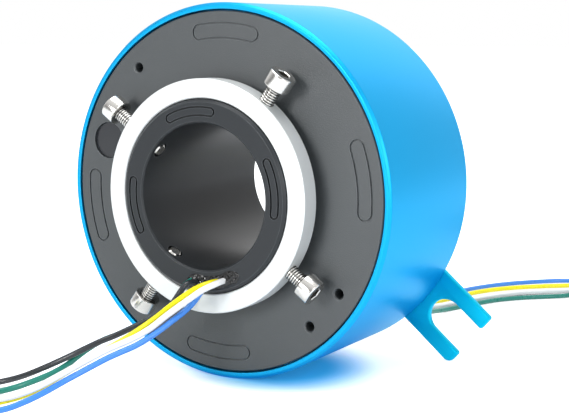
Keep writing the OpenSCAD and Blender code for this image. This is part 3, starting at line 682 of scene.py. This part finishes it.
@dataclass
class Drum:
    """The stationary side: housing, two covers, blanking plug and fork."""

    outer_r: float = 49.5
    bore_r: float = 46.5
    seat_r: float = 47.8
    length: float = 47.0
    seat_depth: float = 3.5
    rear_seat: float = 43.7
    rim_chamfer: float = 0.7
    fork_angle: float = -40.3
    fork_inner: float = 36.5
    fork_reach: float = 66.7
    fork_width: float = 19.0
    fork_thickness: float = 2.0
    slot_from: float = 52.2
    slot_width: float = 9.8
    corner_r: float = 2.2
    tip_r: float = 0.8
    edge_r: float = 0.55

    def housing(self) -> bpy.types.Object:
        """The shell: its outline of radius and Y, with rounded corners, turned about the shaft."""
        c = self.rim_chamfer
        corners = np.array([
            [self.bore_r, self.seat_depth], [self.seat_r, self.seat_depth], [self.seat_r, 0],
            [self.outer_r - c, 0], [self.outer_r, c], [self.outer_r, self.length - c],
            [self.outer_r - c, self.length], [self.seat_r, self.length],
            [self.seat_r, self.rear_seat], [self.bore_r, self.rear_seat],
        ])
        radii = np.array([0.1, 0.1, 0.12, 0.3, 0.45, 0.45, 0.3, 0.12, 0.1, 0.1])
        return turned("housing_shell", filleted(corners, radii, 4), around=384)

    def fork_outline(self) -> Array:
        """The fork's outline: wide corners at its root and lowest point, small ones at its tips."""
        h, s = self.fork_width / 2, self.slot_width / 2
        corners = np.array([
            [self.fork_inner, -h], [self.fork_reach, -h], [self.fork_reach, -s],
            [self.slot_from, -s], [self.slot_from, s], [self.fork_reach, s],
            [self.fork_reach, h], [self.fork_inner, h],
        ])
        root, tip, slot = self.corner_r, self.tip_r, s - 0.01
        return filleted(corners, np.array([root, root, tip, slot, slot, tip, tip, root]), 14)

    def fork(self) -> bpy.types.Object:
        """The fork: its outline carried round the plate's edge.

        A row of the grid is the outline moved inwards by e (1 - sin b) at the height
        e (1 - cos b) from a face, where e is the edge's radius, so that both edges are
        quarter circles. The flat faces close the first and the last row.
        """
        outline = self.fork_outline()
        along = unit(np.roll(outline, -1, 0) - np.roll(outline, 1, 0))
        inwards = np.stack([-along[:, 1], along[:, 0]], -1)
        b = np.linspace(0, math.pi / 2, 6)
        inset = self.edge_r * np.concatenate([1 - np.sin(b), (1 - np.sin(b))[::-1]])
        rise = self.edge_r * (1 - np.cos(b))
        height = np.concatenate([rise, self.fork_thickness - rise[::-1]])
        flat = outline[None] + inset[:, None, None] * inwards[None]
        a = math.radians(self.fork_angle)
        x, w = flat[..., 0], flat[..., 1]
        grid = np.stack([x * math.cos(a) - w * math.sin(a),
                         np.broadcast_to((self.length + height)[:, None], x.shape),
                         x * math.sin(a) + w * math.cos(a)], -1)
        return surface("fork_plate", grid, caps=True, sharp=50)

    def build(self, dresser: Dresser) -> None:
        """Builds and dresses the drum.

        Args:
            dresser: Gives the pieces their finish.
        """
        dresser.piece(self.housing(), BLUE_ANODISED, Body.STATOR, "housing", "housing")
        dresser.piece(self.fork(), FORK_BLUE, Body.STATOR, "fork", "anti_rotation_fork")
        dresser.node("front_cover", COVER_PLASTIC)
        dresser.node("rear_cover", COVER_PLASTIC)
        dresser.node("blanking_plug", PLUG_PLASTIC)
        dresser.node("fork_screws", NICKEL)


# ---------- The sleeve and what clamps it ----------


@dataclass
class ClampScrew:
    """A socket cap screw that points at the shaft."""

    number: int
    first_angle: float = 54.5
    y: float = -5.5
    tip_r: float = 18.85
    length: float = 16.0
    thread_r: float = 2.0
    thread_depth: float = 0.34
    pitch: float = 0.7
    head_r: float = 3.5
    head_height: float = 4.0
    socket: float = 3.0
    socket_depth: float = 2.0
    point: float = 0.55
    foot_r: float = 0.25
    crown_r: float = 0.5
    around: int = 48
    rows_a_pitch: int = 9

    def shank(self) -> Array:
        """The thread, with a point at its tip.

        Along s and round a it lies at r = R - d (1 - min(1, 1.5 w)), where w is the
        triangle wave |2 frac(s / p - a / 2 pi) - 1|.
        """
        s = np.linspace(0, self.length, int(self.length / self.pitch * self.rows_a_pitch))
        a = round_angles(self.around)
        turn = s[:, None] / self.pitch - a[None] / TURN
        wave = np.abs(2 * (turn - np.floor(turn)) - 1)
        r = self.thread_r - self.thread_depth * (1 - np.clip(1.5 * wave, 0, 1))
        r = np.minimum(r, self.thread_r - self.point + np.minimum(s, self.point)[:, None])
        grid = np.stack([r * np.cos(a), r * np.sin(a), np.broadcast_to(s[:, None], r.shape)], -1)
        tip = grid[:1] * np.array([0.0, 0.0, 1.0])
        return np.concatenate([tip, grid])

    def head(self) -> Array:
        """The head: rounded rows of a circle, then rows of a hexagon down its socket.

        The hexagon's radius is half its width over cos(a mod 60 - 30).
        """
        a = round_angles(self.around)
        b = np.linspace(0, math.pi / 2, 5)
        foot, crown = self.foot_r, self.crown_r
        rows_r = [self.thread_r - 0.1, self.head_r - foot, *(self.head_r - foot * (1 - np.sin(b))),
                  *(self.head_r - crown * (1 - np.cos(b)))]
        rows_h = [0, 0, *(foot * (1 - np.cos(b))), *(self.head_height - crown * (1 - np.sin(b)))]
        circle = np.stack([np.outer(rows_r, np.cos(a)), np.outer(rows_r, np.sin(a)),
                           np.repeat(np.array(rows_h)[:, None], self.around, 1)], -1)
        sector = np.mod(a, math.pi / 3) - math.pi / 6
        hexagon = self.socket / 2 / np.cos(sector)
        deep = self.socket_depth
        steps = np.array([[1.13, 0.0], [1.0, -0.2], [1.0, -deep], [0.0, -deep - 0.5]])
        r = steps[:, :1] * hexagon[None]
        h = np.broadcast_to(self.head_height + steps[:, 1:], r.shape)
        return np.concatenate([circle, np.stack([r * np.cos(a), r * np.sin(a), h], -1)])

    def build(self, dresser: Dresser) -> None:
        """Builds the screw as one piece and dresses it.

        Args:
            dresser: Gives the piece its finish.
        """
        head = self.head()
        head[..., 2] += self.length
        points = np.concatenate([self.shank(), head])
        points[..., 2] += self.tip_r
        angle = self.first_angle + 90 * (self.number - 1)
        piece = surface(f"cap_screw_{self.number}", placed(points, angle, self.y), sharp=32)
        dresser.piece(piece, NICKEL, Body.ROTOR, "screw", f"clamp_screw_{self.number}")


@dataclass
class Potting:
    """Sealing resin round the leads: a low uneven mound along an arc."""

    name: str
    solid: str
    body: Body
    radius: float
    middle: float
    span: float
    width: float
    base_y: float
    outwards: float
    height: float
    lead_angles: tuple[float, ...]
    seed: float = 0.0
    skirt: float = 0.3
    columns: int = 240
    rows: int = 26

    def build(self, dresser: Dresser) -> None:
        """Builds and dresses the mound.

        A point at the share s of the way out from the arc's middle line to the outline
        stands (1 - s^4) of the height up. It climbs round each lead as a bell curve, and
        lumps are the products of slow sines over its place along and across the arc.

        Args:
            dresser: Gives the piece its finish.
        """
        half, wide = math.radians(self.span / 2) * self.radius, self.width / 2
        turn = round_angles(self.columns)
        cos, sin = np.cos(turn), np.sin(turn)
        spine = half * np.clip(1.35 * cos, -1, 1)
        edge_u = spine + wide * np.clip(3.8 * (np.abs(cos) - 0.74), 0, 1) * np.sign(cos)
        ragged = 1 + 0.1 * np.sin(5 * turn + self.seed) + 0.06 * np.sin(11 * turn + 2 * self.seed)
        edge_v = wide * sin / np.maximum(np.abs(sin), 0.67) * ragged
        s = np.linspace(0, 1, self.rows)[:, None] ** 0.8
        u, v = spine + (edge_u - spine) * s, edge_v * s
        angle, radius = math.radians(self.middle) + u / self.radius, self.radius + v
        beside = [(angle - math.radians(a)) * self.radius for a in self.lead_angles]
        climb = np.clip(sum(np.exp(-(d**2 + v**2) / 0.9) for d in beside), 0, 1)
        lumps = (np.sin(2.3 * u + 1.7 * v + self.seed) * np.sin(3.1 * v - 0.9 * u + 1)
                 + 0.6 * np.sin(4.9 * u - 2.2 * v + 3 * self.seed) * np.cos(4.1 * v + u))
        rise = self.height * (1 - s**4) * np.clip(0.5 + 0.25 * lumps + 0.5 * climb, 0.05, 1.1)
        y = self.base_y + self.outwards * rise
        grid = np.stack([radius * np.cos(angle), y, radius * np.sin(angle)], -1)
        sunk = self.outwards * self.skirt * ALONG
        under = grid[:1] * (1 - ALONG) + self.base_y * ALONG - sunk
        rows = np.concatenate([grid, grid[-1:] - sunk, under])
        piece = surface(self.name, rows, sharp=60)
        dresser.piece(piece, POTTING, self.body, "resin", self.solid)


class Sleeve:
    """The turning side: the sleeve, its clamp ring with four screws, and its resin."""

    def build(self, dresser: Dresser) -> None:
        """Builds and dresses the turning side.

        Args:
            dresser: Gives the pieces their finish.
        """
        dresser.node("rotor_sleeve", BLACK_ANODISED)
        dresser.node("clamp_ring", BRIGHT_TURNED)
        for number in range(1, 5):
            ClampScrew(number).build(dresser)
        Potting(
            "collar_potting", "rotor_resin", Body.ROTOR, radius=DUCT_R, middle=DUCT_ANGLE,
            span=34.0, width=3.4, base_y=-9.0, outwards=-1.0, height=1.1,
            lead_angles=(262.0, 266.5, 277.7, 284.7, 289.2),
        ).build(dresser)


class Inside:
    """Bearings, ring stack and brushes, which show only from behind."""

    def build(self, dresser: Dresser) -> None:
        """Dresses the solids inside.

        Args:
            dresser: Gives the pieces their finish.
        """
        for end in ("front", "rear"):
            dresser.node(f"{end}_outer_race", BEARING_STEEL)
            dresser.node(f"{end}_inner_race", BEARING_STEEL)
            dresser.node(f"{end}_balls", POLISHED_STEEL)
        for number in range(1, 6):
            dresser.node(f"conductor_ring_{number}", GOLD_PLATE)
        dresser.node("insulating_washers", WASHER_RESIN)
        dresser.node("stack_spacer", BEARING_STEEL)
        dresser.node("retaining_ring", SPRING_STEEL)
        dresser.node("rotor_inner_leads", COPPER)
        dresser.node("stator_inner_leads", INSULATION[Insulation.WHITE])
        dresser.node("terminal_board", BOARD_GREEN)
        Potting(
            "rear_potting", "stator_resin", Body.STATOR, radius=OUTLET_R, middle=OUTLET_ANGLE,
            span=12.0, width=4.4, base_y=47.0, outwards=1.0, height=1.1,
            lead_angles=tuple(OUTLET_ANGLE + OUTLET_STEP * k for k in range(-2, 3)), seed=2.0,
        ).build(dresser)
        for place in ("upper", "lower"):
            dresser.node(f"brush_block_{place}", LAMINATE)
            dresser.node(f"brushes_{place}", GOLD_PLATE)


# ---------- The leads ----------


@dataclass(frozen=True)
class Route:
    """Where one lead runs from its exit to the bundle."""

    colour: Insulation
    exit: Point
    out: Point
    points: tuple[Point, ...]
    place: int


@dataclass
class Leads:
    """The five leads of one side, wound at their ends into one coil with two ties."""

    body: Body
    length: float
    entry: tuple[float, float]
    heading: float
    routes: tuple[Route, ...]
    diameter: float = 1.6
    row_z: float = -46.8
    row_step: float = 4.6
    outer_r: float = 11.1
    coil_inner_r: float = 4.2
    coil_lift: float = 0.4
    bundle_r: float = 1.5
    step_in: tuple[float, float] = (300, 410)
    climb: tuple[float, float] = (605, 725)
    step_out: tuple[float, float] = (995, 1105)
    most_turn: int = 1500
    tie_span: float = 14.0
    inside: float = 0.6
    fan_back: float = 17.0
    join_back: float = 4.0
    off_floor: float = 0.03
    parts: int = 24
    free_points: int = 26
    coil_step: float = 22.5
    fan: tuple[float, ...] = (-4.3, -2.1, 0.0, 2.1, 4.3)
    bundle_turn: tuple[float, ...] = (162, 234, 90, 306, 18)

    @property
    def along(self) -> Array:
        """The way that the bundle runs into its coil."""
        h = math.radians(self.heading)
        return np.array([math.cos(h), math.sin(h), 0.0])

    @property
    def right(self) -> Array:
        """The side of the bundle that the coil lies on."""
        h = math.radians(self.heading)
        return np.array([math.sin(h), -math.cos(h), 0.0])

    @property
    def centre(self) -> Array:
        """The middle of the coil, on the floor."""
        return np.array([*self.entry, FLOOR_Z]) + self.outer_r * self.right

    def coil_path(self, place: int, turn: Array) -> Array:
        """A lead's path in the coil, wound clockwise in two layers of two rows.

        The bundle goes round the outside of the lower layer, steps inwards, climbs, goes
        round the inside of the upper layer and steps outwards; each step is a smoothstep
        of the angle. A lead keeps its place across the bundle.

        Args:
            place: The lead's place across the bundle.
            turn: Angles from the entry, in degrees.

        Returns:
            The path's points.
        """
        across = math.radians(self.bundle_turn[place])
        inwards = smoothstep(turn, *self.step_in) - smoothstep(turn, *self.step_out)
        r = self.outer_r - self.row_step * inwards - self.bundle_r * math.cos(across)
        upwards = smoothstep(turn, *self.climb)
        z = self.row_z + self.row_step * upwards + self.bundle_r * math.sin(across)
        a = np.radians(turn)
        flat = r[:, None] * (np.sin(a)[:, None] * self.along - np.cos(a)[:, None] * self.right)
        path = self.centre + flat
        path[:, 2] = z
        return path

    def lead_in(self, route: Route) -> Array:
        """A lead's points from its exit up to the coil, in millimetres."""
        entry = np.array([*self.entry, 0.0])
        across = math.radians(self.bundle_turn[route.place])
        far = entry - self.fan_back * self.along + self.fan[route.place] * self.right
        far[2] = FLOOR_Z + 1 + 0.25 * abs(route.place - 2)
        near = entry - self.join_back * self.along + self.bundle_r * math.cos(across) * self.right
        near[2] = self.row_z + self.bundle_r * math.sin(across)
        inwards = unit(np.array(route.exit) - np.array(route.out))
        start = np.array(route.exit) + self.inside * inwards
        return np.array([start, route.out, *route.points, far, near])

    def smooth(self, points: Array) -> Array:
        """A centripetal Catmull-Rom curve through the points.

        The spacing of its parameter is the square root of the distance, and each stretch
        is a cubic whose ends have the slopes of the parabola through three points.

        Args:
            points: The points, n by 3.

        Returns:
            The curve's points, close together.
        """
        step = np.sqrt(np.linalg.norm(np.diff(points, axis=0), axis=1))
        chord = np.diff(points, axis=0) / step[:, None]
        inner = chord[:-1] * step[1:, None] + chord[1:] * step[:-1, None]
        inner /= (step[:-1] + step[1:])[:, None]
        slope = np.concatenate([chord[:1], inner, chord[-1:]])
        t = np.linspace(0, 1, self.parts, endpoint=False)[None, :, None]
        p0, p1, h = points[:-1, None], points[1:, None], step[:, None, None]
        m0, m1 = slope[:-1, None] * h, slope[1:, None] * h
        curve = ((2 * t**3 - 3 * t**2 + 1) * p0 + (t**3 - 2 * t**2 + t) * m0
                 + (3 * t**2 - 2 * t**3) * p1 + (t**3 - t**2) * m1)
        return np.concatenate([curve.reshape(-1, 3), points[-1:]])

    @staticmethod
    def distances(points: Array) -> Array:
        """The distance along a line at each of its points."""
        return np.concatenate([[0], np.cumsum(np.linalg.norm(np.diff(points, axis=0), axis=1))])

    def path(self, route: Route) -> Array:
        """A lead's whole path to the coil and round it, until its length is used up."""
        into = self.coil_path(route.place, np.array([0.0, 12.0]))
        dense = self.smooth(np.concatenate([self.lead_in(route), into]))[:-self.parts]
        gone = self.distances(dense)
        where = np.linspace(0, gone[-1], self.free_points + 1)[:-1]
        first = np.stack([np.interp(where, gone, dense[:, k]) for k in range(3)], -1)
        turn = np.linspace(0, self.most_turn, 4 * self.most_turn + 1)
        coil = self.coil_path(route.place, turn)
        wound = self.distances(coil)
        end = float(np.interp(self.length - gone[-1], wound, turn))
        count = max(2, round(end / self.coil_step))
        whole = np.concatenate([first, self.coil_path(route.place, np.linspace(0, end, count + 1))])
        whole[:, 2] = np.maximum(whole[:, 2], FLOOR_Z + self.diameter / 2 + self.off_floor)
        return whole

    def curve(self, name: str, points: Array) -> bpy.types.Object:
        """A round lead along its path: one open spline whose handles follow its neighbours.

        Args:
            name: The piece's name.
            points: The path, in millimetres.

        Returns:
            The curve object.
        """
        data = bpy.data.curves.new(name, "CURVE")
        data.dimensions = "3D"
        data.bevel_depth = self.diameter / 2 * MM
        data.bevel_resolution = 3
        data.resolution_u = 6
        data.use_fill_caps = True
        spline = data.splines.new("BEZIER")
        spline.bezier_points.add(len(points) - 1)
        p = points * MM
        gap = np.linalg.norm(np.diff(p, axis=0), axis=1)
        way = unit(np.concatenate([p[1:2] - p[:1], p[2:] - p[:-2], p[-1:] - p[-2:-1]]))
        before, after = np.concatenate([gap[:1], gap]), np.concatenate([gap, gap[-1:]])
        spline.bezier_points.foreach_set("co", p.ravel())
        spline.bezier_points.foreach_set("handle_left", (p - way * before[:, None] / 3).ravel())
        spline.bezier_points.foreach_set("handle_right", (p + way * after[:, None] / 3).ravel())
        return in_scene(name, data)

    @staticmethod
    def bare_end(name: str, point: Array, way: Array) -> bpy.types.Object:
        """The stripped end: strands with the section r (1 + 0.12 cos 7 (a - 0.8 s)) at s.

        Args:
            name: The piece's name.
            point: The end of the insulation.
            way: The direction that the lead runs there.

        Returns:
            The piece.
        """
        s = np.linspace(-0.4, 3.2, 19)[:, None]
        a = round_angles(56)[None]
        r = 0.46 * (1 + 0.12 * np.cos(7 * (a - 0.8 * s))) * np.clip((3.2 - s) / 0.15, 0, 1) ** 0.5
        way = unit(way)
        side = unit(np.cross(way, [0, 0, 1.0]))
        up = np.cross(side, way)
        over = (r * np.cos(a))[..., None] * side + (r * np.sin(a))[..., None] * up
        return surface(name, point + s[..., None] * way + over, caps=True, sharp=60)

    def ties(self, name: str) -> bpy.types.Object:
        """Two flat bands round the coil: its rounded section, grown a little, on a short arc."""
        lift, wide = self.coil_lift, 2 * (self.row_step + self.coil_lift)
        low = np.array([self.coil_inner_r - lift, 0.0])
        square = np.array([[0, 0], [1, 0], [1, 1], [0, 1]])
        outer = filleted(low + wide * square, np.full(4, 1.6), 6)
        inner = filleted(low + 0.9 * lift + (wide - 1.8 * lift) * square, np.full(4, 1.3), 6)
        edge = (outer + inner) / 2 + 0.3 * (outer - inner)
        rings = np.stack([edge, outer, outer, edge, inner, inner])
        shares = np.array([-1, -0.96, 0.96, 1, 0.96, -0.96])
        pieces = []
        for turn in (self.heading, self.heading + 180):
            a = np.radians(turn + self.tie_span / 2 * shares)[:, None]
            r, z = rings[..., 0], FLOOR_Z + rings[..., 1]
            x, y = self.centre[0] + r * np.cos(a), self.centre[1] + r * np.sin(a)
            pieces.append(surface(name, np.stack([x, y, z], -1), closed_rows=True, sharp=50))
        with bpy.context.temp_override(active_object=pieces[0], selected_editable_objects=pieces):
            bpy.ops.object.join()
        pieces[0].name = name
        return pieces[0]

    def build(self, dresser: Dresser) -> None:
        """Args:
            dresser: Gives the pieces their finish.
        """
        side = self.body.value
        for route in self.routes:
            colour = route.colour.value
            points = self.path(route)
            lead = self.curve(f"{side}_wire_{colour}", points)
            stands_for = [f"{side}_lead_{colour}"]
            if route.place == 2:
                stands_for.append(f"{side}_lead_coil")
            dresser.piece(lead, INSULATION[route.colour], self.body, f"lead_{colour}", *stands_for)
            tip = self.bare_end(f"{side}_wire_end_{colour}", points[-1], points[-1] - points[-2])
            dresser.piece(tip, TINNED, self.body, "copper")
        dresser.piece(self.ties(f"{side}_coil_band"), NYLON, self.body, "tie", f"{side}_coil_tie")


def routes(radius: float, ys: tuple[float, float], rows: tuple[tuple, ...]) -> tuple[Route, ...]:
    """The routes of one side.

    Args:
        radius: How far from the shaft the leads leave.
        ys: Their places along the shaft at the exit and at the end of the straight start.
        rows: Each lead's colour, its angle, its place across the bundle and its points.

    Returns:
        A route for each row.
    """
    return tuple(
        Route(colour, *(tuple(at(radius, angle, y)) for y in ys), points, place)
        for colour, angle, place, points in rows
    )


def rotor_leads() -> Leads:
    """The leads that leave the collar."""
    return Leads(Body.ROTOR, 300.0, (-60.0, -72.0), 225.0, routes(DUCT_R, (-9.9, -11.2), (
        (Insulation.BLACK, DUCT_ANGLE - 12.8, 4, (
            (-2.1, -13, -22.2), (-3.3, -14.6, -24.5), (-4.9, -16.8, -28.1), (-8.7, -19.9, -30.8),
            (-11.5, -23, -32.5), (-15, -26, -34.5), (-18, -29, -36), (-21.5, -31.5, -38),
            (-25, -33.5, -40), (-33, -36, -44), (-39, -36.5, -46.5), (-44, -38, -48),
            (-48, -42, -48.5), (-50.5, -48, -48.5),
        )),
        (Insulation.GREEN, DUCT_ANGLE - 17.3, 3, (
            (-4.2, -13.1, -24.9), (-5.8, -15.3, -28.4), (-9.6, -18.5, -31.1),
            (-12.6, -21.6, -32.9), (-16.1, -24.7, -34.9), (-19.1, -27.7, -36.4),
            (-22.7, -29.9, -39.2), (-26, -34, -42.7), (-32, -38.5, -46), (-39, -43, -48.5),
        )),
        (Insulation.YELLOW, DUCT_ANGLE + 5.4, 2, (
            (4.9, -12.8, -21.3), (3.2, -14.6, -22), (0.7, -16.4, -23.8), (-2.7, -19.2, -26.9),
            (-5.2, -22.2, -29.7), (-7.1, -25.9, -31.9), (-9, -29.8, -33.9), (-11.2, -33.6, -35.8),
            (-14.6, -38.7, -38.5), (-17.7, -43.7, -41.1), (-22.7, -47.6, -44.7),
            (-28.3, -49.4, -47.2), (-34, -52.5, -48.5),
        )),
        (Insulation.WHITE, DUCT_ANGLE + 9.9, 1, (
            (6.9, -13.2, -21.2), (5.2, -15.9, -22.3), (2.6, -18.4, -24.6), (-1, -22, -28),
            (-4, -26.5, -31.5), (-6.5, -30, -33.5), (-10, -35, -35.5), (-13.5, -40, -38),
            (-16.5, -45.5, -40.5), (-22, -50, -44), (-30.5, -52, -47),
        )),
        (Insulation.BLUE, DUCT_ANGLE - 1.6, 0, (
            (2.8, -12.4, -22.8), (2.1, -14, -24.9), (0.9, -17.2, -27.6), (-0.7, -21.3, -30),
            (-3.2, -25.9, -33), (-5.7, -30, -35.2), (-9.2, -34.9, -37.2), (-12.7, -39.9, -39.7),
            (-15.9, -45.2, -42.2), (-21.1, -50.6, -45.8), (-27.3, -56.6, -48.3),
        )),
    )))


def stator_leads() -> Leads:
    """The leads that leave the rear cover."""
    return Leads(Body.STATOR, 350.0, (70.0, 186.0), 42.0, routes(OUTLET_R, (47.9, 50.9), (
        (Insulation.BLUE, OUTLET_ANGLE - 2 * OUTLET_STEP, 0, (
            (11.5, 60, -39.5), (9.5, 71, -42.5), (8, 82, -46), (7.5, 94, -48), (7.5, 108, -48.5),
            (8, 123, -48.5), (11.5, 139, -48.5), (18, 153.5, -48.5), (26, 164, -48.5),
            (36.5, 173.5, -48.5),
        )),
        (Insulation.YELLOW, OUTLET_ANGLE - OUTLET_STEP, 1, (
            (13.5, 60, -38.5), (12, 71, -41), (11, 82, -44.5), (10.5, 93, -47), (11, 112, -48.5),
            (15, 133, -48.5), (21, 146, -48.5), (29, 155.5, -48.5), (39.5, 164.5, -48.5),
        )),
        (Insulation.BLACK, OUTLET_ANGLE, 2, (
            (15.5, 60, -38), (14.5, 71, -41), (13.5, 82, -45), (13, 93, -48),
            (14.5, 108.5, -48.5), (20.5, 125.5, -48.5), (25, 135.5, -48.5), (32.5, 145.5, -48.5),
            (42.5, 155, -48.5),
        )),
        (Insulation.WHITE, OUTLET_ANGLE + OUTLET_STEP, 3, (
            (17.5, 60, -37), (16.5, 71, -39.5), (15.5, 82, -43), (15, 93, -46), (16, 105, -47.5),
            (22, 122, -47.5), (26.5, 131.5, -47.5), (33.5, 141.5, -47.5), (44, 151, -47.5),
        )),
        (Insulation.GREEN, OUTLET_ANGLE + 2 * OUTLET_STEP, 4, (
            (19.5, 60, -36.5), (19, 71, -39.5), (18, 82, -43.5), (17.5, 93, -47),
            (18.5, 105, -48.5), (24, 120.5, -48.5), (28, 129, -48.5), (35.5, 138, -48.5),
            (45, 147, -48.5),
        )),
    )))


# ---------- The studio ----------


@dataclass
class Studio:
    """Floor, lamps, surroundings and camera. Lengths are in metres but for the eye's place."""

    eye: Point = (182.2, -268.3, 40.2)
    azimuth: float = 31.247
    elevation: float = 7.785
    lens: float = 78.88
    sensor: float = 36.0
    floor_half: float = 12.0
    # The painted blue shadow on the floor: its centre, and where it starts and ends fading out.
    painted_shadow_centre: tuple[float, float] = (0.008, 0.017)
    painted_shadow_span: tuple[float, float] = (0.012, 0.03)

    def camera(self) -> None:
        """Stands the camera at its place; its axes come from the azimuth and the elevation."""
        a, e = math.radians(self.azimuth), math.radians(self.elevation)
        back = Vector((math.sin(a) * math.cos(e), -math.cos(a) * math.cos(e), math.sin(e)))
        right = Vector((math.cos(a), math.sin(a), 0))
        turn = Matrix((right, back.cross(right), back)).transposed().to_4x4()
        data = bpy.data.cameras.new("camera")
        data.lens, data.sensor_width = self.lens, self.sensor
        data.clip_start, data.clip_end = 0.01, 50
        camera = in_scene("camera", data)
        camera.matrix_world = Matrix.Translation(Vector(self.eye) * MM) @ turn
        bpy.context.scene.camera = camera

    def floor(self) -> None:
        """A wide pale floor, near white to the camera, with a painted blue shadow under the part,
        where its colour turns cyan and its glow drops.
        """
        w, z = self.floor_half, FLOOR_Z * MM
        mesh = bpy.data.meshes.new("floor")
        mesh.from_pydata([(-w, -w, z), (w, -w, z), (w, w, z), (-w, w, z)], [], [(0, 1, 2, 3)])
        material = bpy.data.materials.new("floor")
        material.use_nodes = True
        tree = material.node_tree
        tree.nodes.remove(tree.nodes["Principled BSDF"])
        middle = (*self.painted_shadow_centre, z)
        away = add_node(tree, "ShaderNodeVectorMath", {0: own_place(tree), 1: middle})
        away.operation = "DISTANCE"
        # far is the share of the way out of the painted shadow.
        far = eased(tree, away.outputs["Value"], self.painted_shadow_span)
        ray = tree.nodes.new("ShaderNodeLightPath").outputs
        mirrored = math_node(tree, "MULTIPLY", ray["Is Glossy Ray"], 0.5)
        seen = math_node(tree, "MAXIMUM", ray["Is Camera Ray"], mirrored)
        # Painted shadow: under the part the glow is weaker, and the floor's colour and glow turn
        # cyan.
        strength = math_node(tree, "MULTIPLY_ADD", far, 0.42, 0.28)
        matt = add_node(tree, "ShaderNodeBsdfDiffuse", {
            "Color": mix(tree, far, (0.12, 0.62, 0.88), (0.86, 0.88, 0.90)),
        })
        glow = add_node(tree, "ShaderNodeEmission", {
            "Color": mix(tree, far, (0.03, 0.40, 0.75), (1.0, 1.0, 1.0)),
            "Strength": math_node(tree, "MULTIPLY", seen, strength),
        })
        both = add_node(tree, "ShaderNodeAddShader", {0: matt.outputs[0], 1: glow.outputs[0]})
        tree.links.new(both.outputs[0], tree.nodes["Material Output"].inputs["Surface"])
        mesh.materials.append(material)
        in_scene("floor", mesh)

    def world(self) -> None:
        """A soft plain light on the part, white to the camera, brighter upwards in reflections."""
        world = bpy.data.worlds.new("studio")
        bpy.context.scene.world = world
        world.use_nodes = True
        tree = world.node_tree
        plain = tree.nodes["Background"]
        plain.inputs["Color"].default_value = (0.94, 0.97, 1, 1)
        plain.inputs["Strength"].default_value = 0.62
        place = tree.nodes.new("ShaderNodeTexCoord").outputs["Generated"]
        _, y, z = add_node(tree, "ShaderNodeSeparateXYZ", {0: place}).outputs
        lean = math_node(tree, "MULTIPLY_ADD", y, 0.7, z)
        room = eased(tree, lean, (-0.35, 0.35), (0.3, 1.0))
        ray = tree.nodes.new("ShaderNodeLightPath").outputs
        direct = math_node(tree, "MAXIMUM", ray["Is Camera Ray"], ray["Is Transmission Ray"])
        white = add_node(tree, "ShaderNodeBackground", {
            "Color": (1, 1, 1, 1), "Strength": math_node(tree, "MAXIMUM", direct, room),
        })
        seen = math_node(tree, "MAXIMUM", direct, ray["Is Glossy Ray"])
        both = add_node(tree, "ShaderNodeMixShader", {
            0: seen, 1: plain.outputs[0], 2: white.outputs[0],
        })
        tree.links.new(both.outputs[0], tree.nodes["World Output"].inputs["Surface"])

    @staticmethod
    def lamp(name: str, place: Point, side: float, watts: float) -> None:
        """One square soft lamp that points at the part.

        Args:
            name: The lamp's name.
            place: Where it stands.
            side: The length of its side.
            watts: Its power.
        """
        data = bpy.data.lights.new(name, "AREA")
        data.size, data.energy = side, watts
        lamp = in_scene(name, data)
        lamp.location = place
        lamp.rotation_mode = "QUATERNION"
        lamp.rotation_quaternion = (-Vector(place)).to_track_quat("-Z", "Y")

    def build(self) -> None:
        """Sets up the floor, the surroundings, the lamps and the camera."""
        bpy.context.scene.view_settings.view_transform = "Standard"
        self.camera()
        self.floor()
        self.world()
        self.lamp("key", (-0.22, -1.2, 0.32), 0.35, 8.0)
        self.lamp("side", (1.15, -0.6, 0.3), 0.5, 4.5)
        self.lamp("top", (0.0, 0.0, 1.1), 0.8, 9.0)
        self.lamp("back", (-0.15, 1.0, 0.65), 1.0, 2.4)


def corners(box: tuple[Vector, Vector]) -> list[list[float]]:
    """A box's two corners as plain lists."""
    return [[float(x) for x in corner] for corner in box]


def main() -> None:
    """Builds the studio and every sub-assembly."""
    logging.basicConfig(level=logging.INFO, format="%(message)s")
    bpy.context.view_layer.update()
    Studio().build()
    dresser = Dresser()
    for leads in (rotor_leads(), stator_leads()):
        leads.build(dresser)
    Drum().build(dresser)
    Sleeve().build(dresser)
    Inside().build(dresser)
    bpy.context.view_layer.update()


if __name__ == "__main__":
    main()
